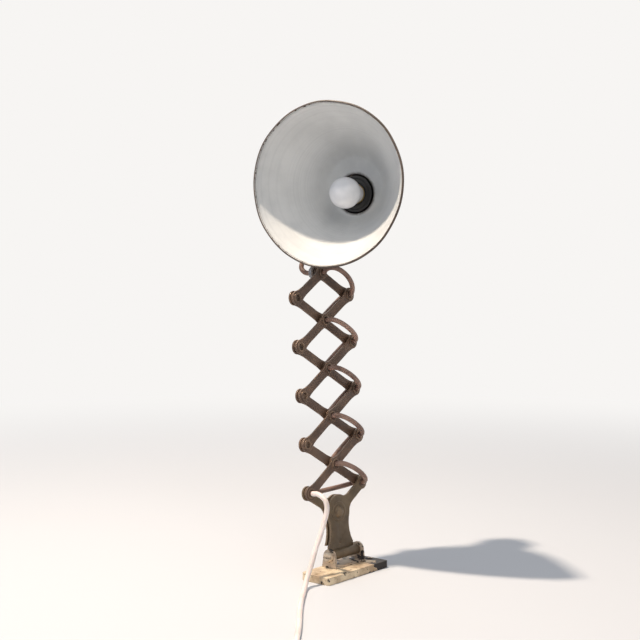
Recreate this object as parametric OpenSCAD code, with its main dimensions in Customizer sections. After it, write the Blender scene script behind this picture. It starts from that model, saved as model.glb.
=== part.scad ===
// Accordion desk lamp: a scissor arm of flat steel links on a hinged foot, carrying a swivelling
// enamelled shade. The mains cord is threaded through the hollow pivots of the scissor.
// Millimetres, +Z up. Origin at the centre of the foot's underside, +X along the hinge barrel.

/* [Foot] */
// Length of the foot plate
foot_length = 124; // [112:1:140]
// Width of the foot plate
foot_width = 48; // [46:1:60]
// Thickness of the foot plate
foot_thickness = 9.5; // [7:0.5:12]
// Distance between the two bench screw holes
foot_hole_pitch = 104; // [100:1:106]
// Diameter of the bench screw holes
foot_hole_d = 5.4; // [4:0.2:6]
// Distance of the hinge bracket's middle from the foot's middle, along the foot
hinge_x = 11; // [4:1:12]
// Distance of the hinge axis behind the foot's middle line
hinge_y = 10; // [6:1:10]

/* [Hinge] */
// Height of the hinge axis above the foot plate
hinge_rise = 14.5; // [13:0.5:20]
// Length of the rolled hinge barrel
barrel_length = 54; // [50:1:58]
// Diameter of the hinge bolt
hinge_bolt_d = 7.5; // [6:0.5:8]
// Thickness of the bracket's steel
bracket_thickness = 3; // [2:0.5:4]
// Depth of the bracket, front to back
bracket_depth = 24; // [22:1:28]
// Diameter of the hinge bolt's head
hinge_head_d = 12.6; // [11:0.2:14]

/* [Scissor] */
// Thickness of the links and cheeks
sheet_thickness = 2.4; // [1.6:0.2:3]
// Gap between the front and the rear layer of links
layer_gap = 3.2; // [2:0.2:4]
// Distance from a link's middle pivot to its end pivot
link_half = 62; // [58:1:70]
// Slope of the links in the stored pose, in degrees
link_angle = 30.5; // [26:0.5:36]
// Backward lean of the scissor in the stored pose, in degrees
lean = 5; // [0:1:8]
// Diameter of the links' end bosses
end_boss_d = 19; // [17:0.5:21]
// Diameter of the links' middle boss
mid_boss_d = 17.6; // [16:0.4:20]
// Width of the links between their bosses
waist_width = 12; // [10:0.5:14]
// Radius of the hollow in a link's side
waist_hollow_r = 60; // [40:5:80]
// Outer diameter of the hollow rivets
rivet_d = 9.4; // [9:0.1:10]
// Bore of the hollow rivets, which the cord passes through
rivet_bore_d = 7.8; // [7.4:0.1:8.2]
// Diameter of the hollow rivets' flanges
flange_d = 14; // [12:0.5:15]

/* [Cheeks] */
// Height of the first crossing above the hinge axis
cheek_height = 54; // [50:1:60]
// Radius of the cheek's round body at the first crossing
cheek_r = 22.5; // [20:0.5:24]
// Width of the cheek at its waist
cheek_waist = 38; // [34:1:42]
// Diameter of the main screw's shaft
main_screw_d = 8; // [6:0.5:9]
// Diameter of the main screw's domed head
dome_d = 17; // [15:0.5:19]
// Height of the main screw's domed head
dome_height = 5; // [4:0.5:6]

/* [Head] */
// Radius of the shade at its rolled rim
shade_r = 104; // [96:1:110]
// Depth of the shade from its neck to its rim
shade_depth = 86; // [78:1:92]
// Thickness of the shade's steel
shade_wall = 1; // [0.8:0.1:1.6]
// Radius of the opening in the shade's neck
shade_neck_r = 26; // [25:0.5:27]
// Radius of the wire in the shade's rolled rim
rim_wire_r = 1.5; // [1.3:0.1:2.4]
// Turn of the shade out of the scissor's plane, in degrees
shade_turn = 13; // [0:1:30]
// Upward tilt of the shade, in degrees
shade_rise = 0; // [0:1:6]
// Height of the shade's own axis above the lamp holder's axis
shade_offset = 9; // [0:0.5:10]
// Diameter of the arm's round steel
arm_d = 9; // [8:0.5:10]
// Sideways reach of the arm, along the scissor's width
arm_reach = 73; // [66:1:78]
// Forward reach of the arm
arm_forward = 35.5; // [30:0.5:38]
// Radius of the bends in the arm
arm_bend_r = 10; // [9.5:0.5:12]
// Slope of the arm's bends, in degrees
arm_bend = 82; // [78:1:84]
// Height of the lamp holder's axis above the tilt pivot
axis_rise = 36; // [36:1:41]
// Diameter of the bulb
bulb_d = 41; // [38:1:46]

/* [Cord] */
// Diameter of the cord
cord_d = 6.6; // [6:0.1:6.8]

/* [Hidden] */
$fn = 64;

running = 0.05;          // radial clearance of a shaft in its hole
play = 0.2;              // gap between faces that slide over each other
hull_fn = 32;

hinge_z = foot_thickness + hinge_rise;
bolt_r = hinge_bolt_d / 2;
bolt_hole_r = bolt_r + running;
barrel_r = bolt_hole_r + sheet_thickness;
barrel_offset = layer_gap / 2 + barrel_r;      // hinge axis in front of the scissor's middle plane
lug_gap = 0.5;
lug_inner = barrel_length / 2 + lug_gap;
lug_outer = lug_inner + bracket_thickness;
lug_r = 9.8;

face = layer_gap / 2;                          // inner face of each layer
skin = face + sheet_thickness;                 // outer face of each layer
flange_t = 1.1;
rivet_r = rivet_d / 2;
rivet_bore_r = rivet_bore_d / 2;
rivet_hole_r = rivet_r + running;
washer_r = 8;
rise = link_half * sin(link_angle);            // half the height of one scissor cell
reach = link_half * cos(link_angle);           // half the width of the scissor
cells = 5;

cord_r = cord_d / 2;
cord_sides = 8;

main_r = main_screw_d / 2;
main_hole_r = main_r + running;
main_nut_af = 13;
main_nut_t = 6.5;
spring_washer_t = 1.2;

eye_t = 3;                                     // flat eye at the arm's foot
eye_front = -skin - play;
eye_back = eye_front - eye_t;
eye_middle = (eye_front + eye_back) / 2;
clamp_nut_r = 9;
clamp_nut_t = 6;
clamp_nut_front = eye_back - play;
head_bolt_end = clamp_nut_front - clamp_nut_t - 1;

arm_r = arm_d / 2;
eye_r = 10.5;
arm_foot = eye_r + 2;                          // height of the arm's foot above the top crossing
arm_plane = atan2(arm_forward, arm_reach);     // turn of the arm's bends about its upright foot
arm_span = norm([arm_reach, arm_forward]);
arm_run = (arm_span - 2 * arm_bend_r * (1 - cos(arm_bend))) / sin(arm_bend);
arm_neck = 2;                                  // straight length under the swivel
arm_top = arm_foot + 2 + 2 * arm_bend_r * sin(arm_bend) + arm_run * cos(arm_bend) + arm_neck;
bend_thinning = 0.15;                          // the steel draws in a little where it is bent
bend_overlap = 1;
spigot_r = 4;
block_r = 8;
block_height = 9;
spigot_length = block_height - 1;
block_base = arm_top + play;
tilt_height = block_base + block_height + 9.5;  // tilt pivot above the top crossing
tilt_eye_r = 6.5;
tongue_half = 3.5;
ear_t = 2.5;
ear_inner = tongue_half + play;
ear_outer = ear_inner + ear_t;
tilt_bolt_r = 2.5;

cup_r = 28.5;
cup_wall = 1.2;
cup_back = -20;
cup_slope = 14;                                // depth of the cup's sloping shoulder
neck_z = 36;                                   // shade's neck in front of the tilt pivot
rim_z = neck_z + shade_depth;
holder_back = 3;
holder_front = neck_z + 3;
bulb_centre = holder_front + 30;
gland_seat = 1.5;                              // boss on the shoulder that the gland seats on
gland_length = 18;
gland_base = [-cup_back - cup_slope / 2, axis_rise - cup_r + cup_slope / 2];

// ---- placing ----

function c_pivot(k) = [0, cheek_height + 2 * k * rise, 0];
function r_pivot(k) = [reach, cheek_height + (2 * k - 1) * rise, 0];
function l_pivot(k) = [-reach, cheek_height + (2 * k - 1) * rise, 0];

// Local x runs across the scissor, y up along it, z out of its front face.
module in_scissor() {
    translate([hinge_x, hinge_y, hinge_z])
        rotate([90 - lean, 0, 0])
            translate([0, 0, -barrel_offset])
                children();
}

module at_top() {
    in_scissor() translate(c_pivot(cells)) children();
}

// Local -x is the way the shade faces, y is up, z the tilt axis; origin at the tilt pivot.
module in_head() {
    at_top()
        translate([arm_reach, tilt_height, eye_middle + arm_forward])
            rotate([0, shade_turn, 0])
                rotate([0, 0, -shade_rise])
                    children();
}

// z runs forward along the shade's axis.
module on_shade_axis() {
    in_head() translate([0, axis_rise, 0]) rotate([0, -90, 0]) children();
}

// ---- shapes shared by several pieces ----

bite = 0.3;                                    // how far a side hollow cuts into its boss
blend = 0.05;                                  // how far a side hollow cuts into the waist's straight side
function hollow_distance(boss_r, r) = boss_r + r - bite;
function hollow_reach(boss_r, half, r) = sqrt(pow(hollow_distance(boss_r, r), 2) - pow(half + r, 2));
function root_half(boss_r, half, r) = (half + r) * (boss_r - bite / 2) / hollow_distance(boss_r, r);

// Bar from a boss at the origin to a boss at [length, 0], its sides drawn in by round hollows.
module bar_2d(length, boss_a, boss_b, half, r) {
    reach_a = hollow_reach(boss_a, half, r);
    reach_b = length - hollow_reach(boss_b, half, r);
    root_a = root_half(boss_a, half, r);
    root_b = root_half(boss_b, half, r);
    middle = half + blend;
    difference() {
        polygon([
            [0, -root_a], [reach_a, -root_a], [reach_a, -middle], [reach_b, -middle],
            [reach_b, -root_b], [length, -root_b], [length, root_b], [reach_b, root_b],
            [reach_b, middle], [reach_a, middle], [reach_a, root_a], [0, root_a]]);
        for (x = [reach_a, reach_b], side = [-1, 1]) translate([x, side * (half + r)]) circle(r = r);
    }
}

module layer(front) {
    translate([0, 0, front ? face : -skin]) linear_extrude(sheet_thickness) children();
}

module boss(front, x, r) {
    layer(front) translate([x, 0]) circle(r = r);
}

// Half of a link, from its middle boss at the origin to its end boss on the given side.
module half_link_blank(front, side) {
    layer(front) scale([side, 1]) mirror([1, 0]) translate([-link_half, 0])
        bar_2d(link_half, end_boss_d / 2, mid_boss_d / 2, waist_width / 2, waist_hollow_r);
    boss(front, side * link_half, end_boss_d / 2);
    boss(front, 0, mid_boss_d / 2);
}

module full_link(front) {
    difference() {
        union() for (side = [-1, 1]) half_link_blank(front, side);
        for (x = [-link_half, 0, link_half]) pivot_hole(x);
    }
}

module half_link(front, side) {
    difference() {
        half_link_blank(front, side);
        for (x = [0, side * link_half]) pivot_hole(x);
    }
}

module pivot_hole(x) {
    translate([x, 0, -skin - 1]) cylinder(h = 2 * skin + 2, r = rivet_hole_r);
}

module ring(z0, z1, inner, outer) {
    translate([0, 0, z0]) difference() {
        cylinder(h = z1 - z0, r = outer);
        translate([0, 0, -1]) cylinder(h = z1 - z0 + 2, r = inner);
    }
}

// Hollow rivet with rolled flanges; it grips the front layer or the rear one.
module hollow_rivet(front) {
    front_face = front ? skin : skin + play;
    back_face = front ? -skin - play : -skin;
    half = flange_d / 2;
    difference() {
        union() {
            translate([0, 0, back_face]) cylinder(h = front_face - back_face, r = rivet_r);
            translate([0, 0, front_face]) rolled_flange(half);
            translate([0, 0, back_face]) mirror([0, 0, 1]) rolled_flange(half);
        }
        translate([0, 0, -skin - 4]) cylinder(h = 2 * skin + 8, r = rivet_bore_r);
    }
}

module rolled_flange(r) {
    cylinder(h = flange_t / 2, r = r);
    translate([0, 0, flange_t / 2]) cylinder(h = flange_t / 2, r1 = r, r2 = r - flange_t);
}

module spacer(front) {
    if (front) ring(-face + play, face, rivet_hole_r, washer_r);
    else ring(-face, face - play, rivet_hole_r, washer_r);
}

function unit(v) = v / norm(v);
function heading(p, i) =
    unit(i == 0 ? p[1] - p[0] : i == len(p) - 1 ? p[i] - p[i - 1] : p[i + 1] - p[i - 1]);
function bezier(a, b, c, d, t) =
    pow(1 - t, 3) * a + 3 * t * pow(1 - t, 2) * b + 3 * t * t * (1 - t) * c + pow(t, 3) * d;
// Point at t between p[i] and p[i + 1] on a smooth curve through all the points.
function through(p, i, t) =
    let (a = p[max(i - 1, 0)], b = p[i], c = p[i + 1], d = p[min(i + 2, len(p) - 1)])
    0.5 * (2 * b + t * (c - a) + t * t * (2 * a - 5 * b + 4 * c - d)
        + t * t * t * (3 * b - a - 3 * c + d));
function smooth(p, steps) =
    concat([for (i = [0 : len(p) - 2], s = [0 : steps - 1]) through(p, i, s / steps)], [p[len(p) - 1]]);
function path_length(p) = len(p) < 2 ? 0 : sum([for (i = [1 : len(p) - 1]) norm(p[i] - p[i - 1])]);
function sum(v, i = 0) = i == len(v) ? 0 : v[i] + sum(v, i + 1);

// Closed round tube along path[first] to path[last]; up is never along the path.
module tube(path, up, first = 0, last = -1, sides = cord_sides, r = cord_r) {
    stop = last < 0 ? len(path) - 1 : last;
    rings = stop - first + 1;
    points = [for (i = [first : stop])
        let (t = heading(path, i), a = unit(cross(up, t)), b = cross(t, a))
        for (j = [0 : sides - 1]) path[i] + r * (cos(360 * j / sides) * a + sin(360 * j / sides) * b)];
    walls = [for (i = [0 : rings - 2], j = [0 : sides - 1])
        let (k = (j + 1) % sides, here = i * sides, next = (i + 1) * sides)
        each [[here + j, next + j, next + k], [here + j, next + k, here + k]]];
    caps = [for (j = [1 : sides - 2]) each [
        [0, j, j + 1],
        [(rings - 1) * sides, (rings - 1) * sides + j + 1, (rings - 1) * sides + j]]];
    polyhedron(points = points, faces = concat(walls, caps), convexity = 6);
}

// ---- foot and hinge ----

module foot_outline() {
    back_r = 9;
    front_r = 3;
    l = foot_length / 2;
    w = foot_width / 2;
    translate([-l + back_r, -w + front_r]) square([foot_length - 2 * back_r, foot_width - front_r]);
    translate([-l, -w + front_r]) square([foot_length, foot_width - front_r - back_r]);
    translate([-l + front_r, -w]) square([foot_length - 2 * front_r, front_r + 1]);
    for (side = [-1, 1]) {
        translate([side * (l - back_r), w - back_r]) circle(r = back_r);
        translate([side * (l - front_r), -w + front_r]) circle(r = front_r);
    }
}

bracket_screw_x = 17;
bracket_screw_r = 2;
bracket_screw_depth = 6;

module foot_plate() color([0.86, 0.78, 0.66]) {
    hole_r = foot_hole_d / 2;
    difference() {
        linear_extrude(foot_thickness) foot_outline();
        for (side = [-1, 1]) translate([side * foot_hole_pitch / 2, 0, 0]) {
            translate([0, 0, -1]) cylinder(h = foot_thickness + 2, r = hole_r);
            translate([0, 0, foot_thickness - hole_r]) cylinder(h = hole_r, r1 = hole_r, r2 = 2 * hole_r);
        }
        for (side = [-1, 1]) translate([hinge_x + side * bracket_screw_x, hinge_y, 0])
            translate([0, 0, foot_thickness - bracket_screw_depth])
                cylinder(h = bracket_screw_depth + 1, r = bracket_screw_r + running);
    }
}

module on_foot_top() {
    translate([hinge_x, hinge_y, foot_thickness]) children();
}

module lug_2d() {
    half = bracket_depth / 2;
    difference() {
        union() {
            translate([0, hinge_rise]) circle(r = lug_r);
            polygon([[-half, 0], [half, 0], [lug_r, hinge_rise], [-lug_r, hinge_rise]]);
        }
        translate([0, hinge_rise]) circle(r = bolt_hole_r);
    }
}

module hinge_bracket() color([0.72, 0.62, 0.52]) on_foot_top() {
    difference() {
        translate([-lug_outer, -bracket_depth / 2, 0]) cube([2 * lug_outer, bracket_depth, bracket_thickness]);
        for (side = [-1, 1]) translate([side * bracket_screw_x, 0, -1])
            cylinder(h = bracket_thickness + 2, r = bracket_screw_r + running);
    }
    for (x = [-lug_outer, lug_inner]) translate([x, 0, 0]) rotate([90, 0, 90])
        linear_extrude(bracket_thickness) lug_2d();
}

module bracket_screws() color([0.45, 0.4, 0.36]) on_foot_top() {
    head_r = 3.8;
    head_t = 1.8;
    for (side = [-1, 1]) translate([side * bracket_screw_x, 0, 0]) {
        translate([0, 0, -bracket_screw_depth + play])
            cylinder(h = bracket_screw_depth + bracket_thickness - play, r = bracket_screw_r);
        translate([0, 0, bracket_thickness]) cylinder(h = head_t, r = head_r);
    }
}

module on_hinge_axis() {
    translate([hinge_x, hinge_y, hinge_z]) rotate([0, 90, 0]) children();
}

hinge_head_t = 6.2;
hinge_nut_t = 5;

module hinge_bolt() color([0.85, 0.77, 0.66]) on_hinge_axis() {
    head_r = hinge_head_d / 2;
    chamfer = 1.2;
    translate([0, 0, -lug_outer]) cylinder(h = 2 * lug_outer + hinge_nut_t - 1, r = bolt_r);
    difference() {
        translate([0, 0, -lug_outer - hinge_head_t]) {
            cylinder(h = chamfer, r1 = head_r - chamfer, r2 = head_r);
            translate([0, 0, chamfer]) cylinder(h = hinge_head_t - chamfer, r = head_r);
        }
        translate([-0.8, -head_r - 1, -lug_outer - hinge_head_t - 1]) cube([1.6, 2 * head_r + 2, 2.6]);
    }
}

module hinge_nut() color([0.5, 0.42, 0.36]) on_hinge_axis() translate([0, 0, lug_outer]) {
    nut_r = hinge_head_d / 2 - 0.6;
    chamfer = 1.4;
    difference() {
        union() {
            cylinder(h = hinge_nut_t - chamfer, r = nut_r);
            translate([0, 0, hinge_nut_t - chamfer]) cylinder(h = chamfer, r1 = nut_r, r2 = nut_r - chamfer);
        }
        translate([0, 0, -1]) cylinder(h = hinge_nut_t + 2, r = bolt_hole_r);
    }
}

// ---- cheeks: plates that are half a link above and a stand below the first crossing ----

cheek_foot_half = 25.5;
cheek_waist_drop = 20;                         // waist below the first crossing
cheek_tail_top = 8;                            // the tail starts inside the round body
cheek_tail = 43;                               // drop of the flared end below the first crossing
rear_tail = 41.5;
arm_fillet_r = 16;

module cheek_tail_2d(tail) {
    waist = cheek_waist / 2;
    flare = cheek_foot_half - waist;
    drop = cheek_tail - cheek_waist_drop;
    hollow_r = (flare * flare + drop * drop) / (2 * flare);
    difference() {
        translate([-cheek_foot_half, -tail]) square([2 * cheek_foot_half, tail - cheek_tail_top]);
        for (side = [-1, 1]) translate([side * (waist + hollow_r), -cheek_waist_drop]) circle(r = hollow_r);
    }
}

// Blank of a cheek, its first crossing at the origin, its arm running up to the right.
module cheek_blank(front, tail) {
    layer(front) circle(r = cheek_r);
    layer(front) cheek_tail_2d(tail);
    rotate(link_angle) {
        layer(front) bar_2d(link_half, cheek_r, end_boss_d / 2, waist_width / 2 + 1, arm_fillet_r);
        boss(front, link_half, end_boss_d / 2);
    }
}

module front_cheek() color([0.42, 0.34, 0.24]) in_scissor() {
    seam = 0.7;
    difference() {
        union() {
            translate([0, cheek_height, 0]) cheek_blank(true, cheek_tail);
            layer(true) translate([-cheek_foot_half, 0])
                square([2 * cheek_foot_half, cheek_height - cheek_tail + 0.5]);
            translate([-barrel_length / 2, 0, barrel_offset]) rotate([0, 90, 0])
                cylinder(h = barrel_length, r = barrel_r);
        }
        translate([-barrel_length, 0, barrel_offset]) rotate([0, 90, 0])
            cylinder(h = 2 * barrel_length, r = bolt_hole_r);
        translate([-barrel_length, barrel_r - 1.6, skin]) cube([2 * barrel_length, seam, sheet_thickness]);
        translate([0, cheek_height, 0]) cylinder(h = skin + 1, r = main_hole_r);
        translate(r_pivot(1)) pivot_hole(0);
        translate([-2, cheek_height - cheek_tail + 2, 0]) cylinder(h = skin + 1, r = 1.1);
    }
}

module rear_cheek() color([0.4, 0.32, 0.23]) in_scissor() {
    difference() {
        translate([0, cheek_height, 0]) mirror([1, 0, 0]) cheek_blank(false, rear_tail);
        translate([0, cheek_height, -skin - 1]) cylinder(h = skin + 1, r = main_hole_r);
        translate(l_pivot(1)) pivot_hole(0);
    }
}

module at_first_crossing() {
    in_scissor() translate([0, cheek_height, 0]) children();
}

main_nut_back = -skin - play - spring_washer_t - main_nut_t;

module main_screw() color([0.45, 0.37, 0.27]) at_first_crossing() {
    sphere_r = (pow(dome_d / 2, 2) + pow(dome_height, 2)) / (2 * dome_height);
    translate([0, 0, main_nut_back - 1.5]) cylinder(h = skin - main_nut_back + 1.5, r = main_r);
    intersection() {
        translate([0, 0, skin + dome_height - sphere_r]) sphere(r = sphere_r);
        translate([0, 0, skin]) cylinder(h = dome_height + 1, r = dome_d / 2);
    }
}

module main_nut() color([0.5, 0.46, 0.42]) at_first_crossing() {
    ring(-face + play, face, main_hole_r, 10);
    ring(-skin - play - spring_washer_t, -skin - play, main_hole_r, 8.2);
    translate([0, 0, main_nut_back]) difference() {
        cylinder(h = main_nut_t, r = main_nut_af / sqrt(3), $fn = 6);
        translate([0, 0, -1]) cylinder(h = main_nut_t + 2, r = main_hole_r);
    }
}

// ---- links and hollow rivets ----

// Front links slope up to the right through crossing k, rear links up to the left.
module front_link(k) color([0.38, 0.29, 0.23]) in_scissor()
    translate(c_pivot(k)) rotate(link_angle) full_link(true);

module back_link(k) color([0.34, 0.26, 0.21]) in_scissor()
    translate(c_pivot(k)) rotate(-link_angle) full_link(false);

module front_half_link() color([0.38, 0.29, 0.23]) at_top()
    rotate(link_angle) half_link(true, -1);

module back_half_link() color([0.34, 0.26, 0.21]) at_top()
    rotate(-link_angle) half_link(false, 1);

module rivet_at(p, front) {
    in_scissor() translate(p) {
        hollow_rivet(front);
        spacer(front);
    }
}

module front_rivets(k) color([0.5, 0.4, 0.33]) {
    rivet_at(l_pivot(k), true);
    rivet_at(c_pivot(k), true);
}

module top_rivet() color([0.5, 0.4, 0.33]) rivet_at(l_pivot(cells), true);

module back_rivet(k) color([0.5, 0.4, 0.33]) rivet_at(r_pivot(k), false);

// ---- head: hollow bolt, clamp nut, swan-neck arm, swivel and tilt ----

module head_bolt() color([0.5, 0.4, 0.33]) at_top() {
    difference() {
        union() {
            translate([0, 0, head_bolt_end]) cylinder(h = skin - head_bolt_end, r = rivet_r);
            translate([0, 0, skin]) rolled_flange(flange_d / 2);
        }
        translate([0, 0, head_bolt_end - 1]) cylinder(h = skin - head_bolt_end + 4, r = rivet_bore_r);
    }
    spacer(true);
}

module clamp_nut() color([0.55, 0.58, 0.62]) at_top()
    translate([0, 0, clamp_nut_front - clamp_nut_t]) {
        grips = 16;
        grip_r = 0.9;
        difference() {
            cylinder(h = clamp_nut_t, r = clamp_nut_r);
            translate([0, 0, -1]) cylinder(h = clamp_nut_t + 2, r = rivet_hole_r);
            for (i = [0 : grips - 1]) rotate(360 * i / grips) translate([clamp_nut_r, 0, -1])
                cylinder(h = clamp_nut_t + 2, r = grip_r);
        }
    }

// Round rod bent through the arm's bend angle, in the x-y plane about the origin.
module elbow(rod_r) {
    rotate_extrude(angle = arm_bend) translate([arm_bend_r, 0]) circle(r = rod_r - bend_thinning);
}

module upright(length, rod_r) {
    translate([0, -bend_overlap, 0]) rotate([-90, 0, 0]) cylinder(h = length + 2 * bend_overlap, r = rod_r);
}

// Rod of radius rod_r along the arm's bends, from its upright foot to its upright top.
module arm_bends(rod_r) {
    first = arm_foot + 2;
    turn_x = arm_bend_r * (1 - cos(arm_bend));
    turn_y = arm_bend_r * sin(arm_bend);
    rotate([0, -arm_plane, 0]) {
        translate([0, eye_r, 0]) upright(first - eye_r, rod_r);
        translate([arm_bend_r, first, 0]) rotate(180 - arm_bend) elbow(rod_r);
        translate([turn_x, first + turn_y, 0]) rotate([0, 0, -arm_bend]) upright(arm_run, rod_r);
        translate([arm_span - arm_bend_r, arm_top - arm_neck, 0]) rotate(-arm_bend) elbow(rod_r);
        translate([arm_span, arm_top - arm_neck, 0]) upright(arm_neck - bend_overlap, rod_r);
    }
}

module head_arm() color([0.3, 0.26, 0.23]) at_top() {
    difference() {
        union() {
            translate([0, 0, eye_back]) cylinder(h = eye_t, r = eye_r);
            translate([-arm_r, 0, eye_back]) cube([arm_d, arm_foot, eye_t]);
            translate([0, 0, eye_middle]) arm_bends(arm_r);
            translate([arm_reach, arm_top, eye_middle + arm_forward])
                rotate([-90, 0, 0]) cylinder(h = spigot_length, r = spigot_r);
        }
        translate([0, 0, eye_back - 1]) cylinder(h = eye_t + 2, r = rivet_hole_r);
    }
}

// Block on the arm's spigot with an upright tongue for the tilt bolt.
module swivel_block() color([0.36, 0.32, 0.29]) at_top()
    translate([arm_reach, 0, eye_middle + arm_forward]) rotate([0, shade_turn, 0]) {
        eye_y = tilt_height;
        difference() {
            union() {
                translate([0, block_base, 0]) rotate([-90, 0, 0]) cylinder(h = block_height, r = block_r);
                translate([-tilt_eye_r, block_base + block_height - 1, -tongue_half])
                    cube([2 * tilt_eye_r, eye_y - block_base - block_height + 1, 2 * tongue_half]);
                translate([0, eye_y, -tongue_half]) cylinder(h = 2 * tongue_half, r = tilt_eye_r);
            }
            translate([0, block_base - 1, 0]) rotate([-90, 0, 0])
                cylinder(h = spigot_length + 1.3, r = spigot_r + running);
            translate([0, eye_y, -tongue_half - 1]) cylinder(h = 2 * tongue_half + 2, r = tilt_bolt_r + running);
        }
    }

wing_nut_t = 5;
wing_span = 9;

module tilt_bolt() color([0.55, 0.55, 0.55]) in_head() {
    head_t = 3;
    translate([0, 0, -ear_outer]) cylinder(h = 2 * ear_outer + wing_nut_t + 1.5, r = tilt_bolt_r);
    translate([0, 0, -ear_outer - head_t]) cylinder(h = head_t, r = 4.6);
}

module wing_nut() color([0.6, 0.6, 0.6]) in_head() translate([0, 0, ear_outer + play]) {
    wing_t = 2;
    difference() {
        union() {
            cylinder(h = wing_nut_t, r1 = 5.4, r2 = 4.2);
            for (side = [-1, 1]) hull() {
                translate([side * 3, 0, 0.5]) rotate([90, 0, 0])
                    translate([0, 1.6, -wing_t / 2]) cylinder(h = wing_t, r = 1.6, $fn = hull_fn);
                translate([side * wing_span * 0.8, 0, 7.5]) rotate([90, 0, 0])
                    translate([0, 0, -wing_t / 2]) cylinder(h = wing_t, r = 3.2, $fn = hull_fn);
            }
        }
        translate([0, 0, -1]) cylinder(h = wing_nut_t + 4, r = tilt_bolt_r + running);
    }
}

// ---- shade, cup and lamp ----

shade_steps = 18;
shade_seat_r = shade_neck_r + shade_offset + 3.5;  // flat back of the shade, round its neck
shade_power = 1.4;

function shade_curve(t) = [shade_seat_r + (shade_r - shade_seat_r) * t,
                           neck_z + shade_wall + (shade_depth - shade_wall) * pow(t, shade_power)];
function shade_normal(t) =
    let (d = shade_curve(min(t + 0.01, 1)) - shade_curve(max(t - 0.01, 0)))
    unit([-d[1], d[0]]);

// The shade's axis lies above the lamp holder's, so its neck is cut low in its flat back.
module shade() color([0.86, 0.85, 0.82]) on_shade_axis() {
    inner = [for (i = [0 : shade_steps]) shade_curve(i / shade_steps)];
    outer = [for (i = [shade_steps : -1 : 1])
        shade_curve(i / shade_steps) - shade_wall * shade_normal(i / shade_steps)];
    difference() {
        translate([0, shade_offset, 0]) {
            rotate_extrude() polygon(concat(
                [[0, neck_z], [0, neck_z + shade_wall]],
                inner,
                outer,
                [[shade_seat_r + shade_wall, neck_z]]));
            rotate_extrude() translate([shade_r, rim_z]) circle(r = rim_wire_r);
        }
        translate([0, 0, neck_z - 1]) cylinder(h = shade_wall + 2, r = shade_neck_r);
    }
}
module shade_cup() color([0.3, 0.27, 0.25]) {
    flange = 3.4;
    vent_r = 2;
    nipple_r = 5;
    ear_r = tilt_eye_r + 0.5;
    difference() {
        union() {
            on_shade_axis() rotate_extrude() polygon([
                [nipple_r + running, cup_back], [cup_r - cup_slope, cup_back],
                [cup_r, cup_back + cup_slope],
                [cup_r, neck_z - cup_wall], [shade_neck_r + flange, neck_z - cup_wall],
                [shade_neck_r + flange, neck_z], [cup_r - cup_wall, neck_z],
                [cup_r - cup_wall, cup_back + cup_slope + cup_wall / 2],
                [cup_r - cup_slope - cup_wall / 2, cup_back + cup_wall],
                [nipple_r + running, cup_back + cup_wall]]);
            on_gland_axis() translate([0, 0, -cup_wall]) cylinder(h = cup_wall + gland_seat, r = gland_nut_r + 0.5);
            in_head() for (z = [-ear_outer, ear_inner]) translate([0, 0, z]) {
                cylinder(h = ear_t, r = ear_r);
                translate([-ear_r, 0, 0]) cube([2 * ear_r, axis_rise - cup_r + 1, ear_t]);
            }
        }
        in_head() translate([0, 0, -ear_outer - 1]) cylinder(h = 2 * ear_outer + 2, r = tilt_bolt_r + running);
        on_gland_axis() translate([0, 0, -4]) cylinder(h = 8, r = gland_r + running);
        on_shade_axis() for (i = [0 : 7]) rotate(22.5 + 45 * i) translate([cup_r + 1, 0, neck_z - 12])
            rotate([0, -90, 0]) cylinder(h = 4, r = vent_r);
    }
}

gland_r = 4.5;
gland_nut_r = 6.5;

// z runs out of the cup's sloping shoulder, backward and down.
module on_gland_axis() {
    in_head() translate(gland_base) rotate([0, 0, -45]) rotate([0, 90, 0]) children();
}

module cord_gland() color([0.14, 0.13, 0.13]) on_gland_axis() translate([0, 0, gland_seat]) {
    difference() {
        union() {
            translate([0, 0, -4.5]) cylinder(h = 4.6, r = gland_r);
            cylinder(h = 3, r = gland_nut_r);
            translate([0, 0, 3]) cylinder(h = gland_length - 3, r1 = gland_nut_r - 0.5, r2 = 4.3);
        }
        translate([0, 0, -10]) cylinder(h = gland_length + 20, r = cord_r + 0.15);
    }
}

module lampholder() color([0.09, 0.08, 0.08]) on_shade_axis() {
    cap_r = 13;
    socket_r = cap_r + 0.7;
    shell_r = 20;
    ring_r = 24;
    difference() {
        union() {
            translate([0, 0, holder_back]) cylinder(h = holder_front - holder_back - 1, r = shell_r);
            translate([0, 0, holder_back - 5]) cylinder(h = 5, r1 = 11, r2 = shell_r);
            translate([0, 0, cup_back - 3]) cylinder(h = holder_back - 5 - cup_back + 4, r = 5);
        }
        translate([0, 0, holder_back + 11]) cylinder(h = holder_front, r = socket_r);
        translate([0, 0, cup_back - 4]) cylinder(h = 40, r = 3.4);
    }
    ring(holder_front - 6, holder_front, shell_r + running, ring_r);
    ring(cup_back - 4, cup_back, 5 + running, 8);
}

module bulb_glass() color([0.93, 0.93, 0.95]) on_shade_axis() {
    neck_r = 12.4;
    translate([0, 0, bulb_centre]) sphere(r = bulb_d / 2);
    translate([0, 0, holder_front]) cylinder(h = bulb_centre - holder_front, r = neck_r);
    translate([0, 0, holder_front + 3])
        cylinder(h = bulb_centre - holder_front - 10, r1 = neck_r, r2 = bulb_d / 2 - 2.2);
}

module bulb_cap() color([0.7, 0.68, 0.62]) on_shade_axis() {
    translate([0, 0, holder_back + 18]) cylinder(h = holder_front - holder_back - 18, r = 13);
    translate([0, 0, holder_back + 13]) cylinder(h = 5, r1 = 5, r2 = 12);
}

// ---- cord in the scissor ----

lead = skin + 2;                               // straight length of cord in each pivot
loop_steps = 9;
front_reach = 16;
rear_reach = -9;
top_bulge = 18;
loop_bulge = 6;

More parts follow.
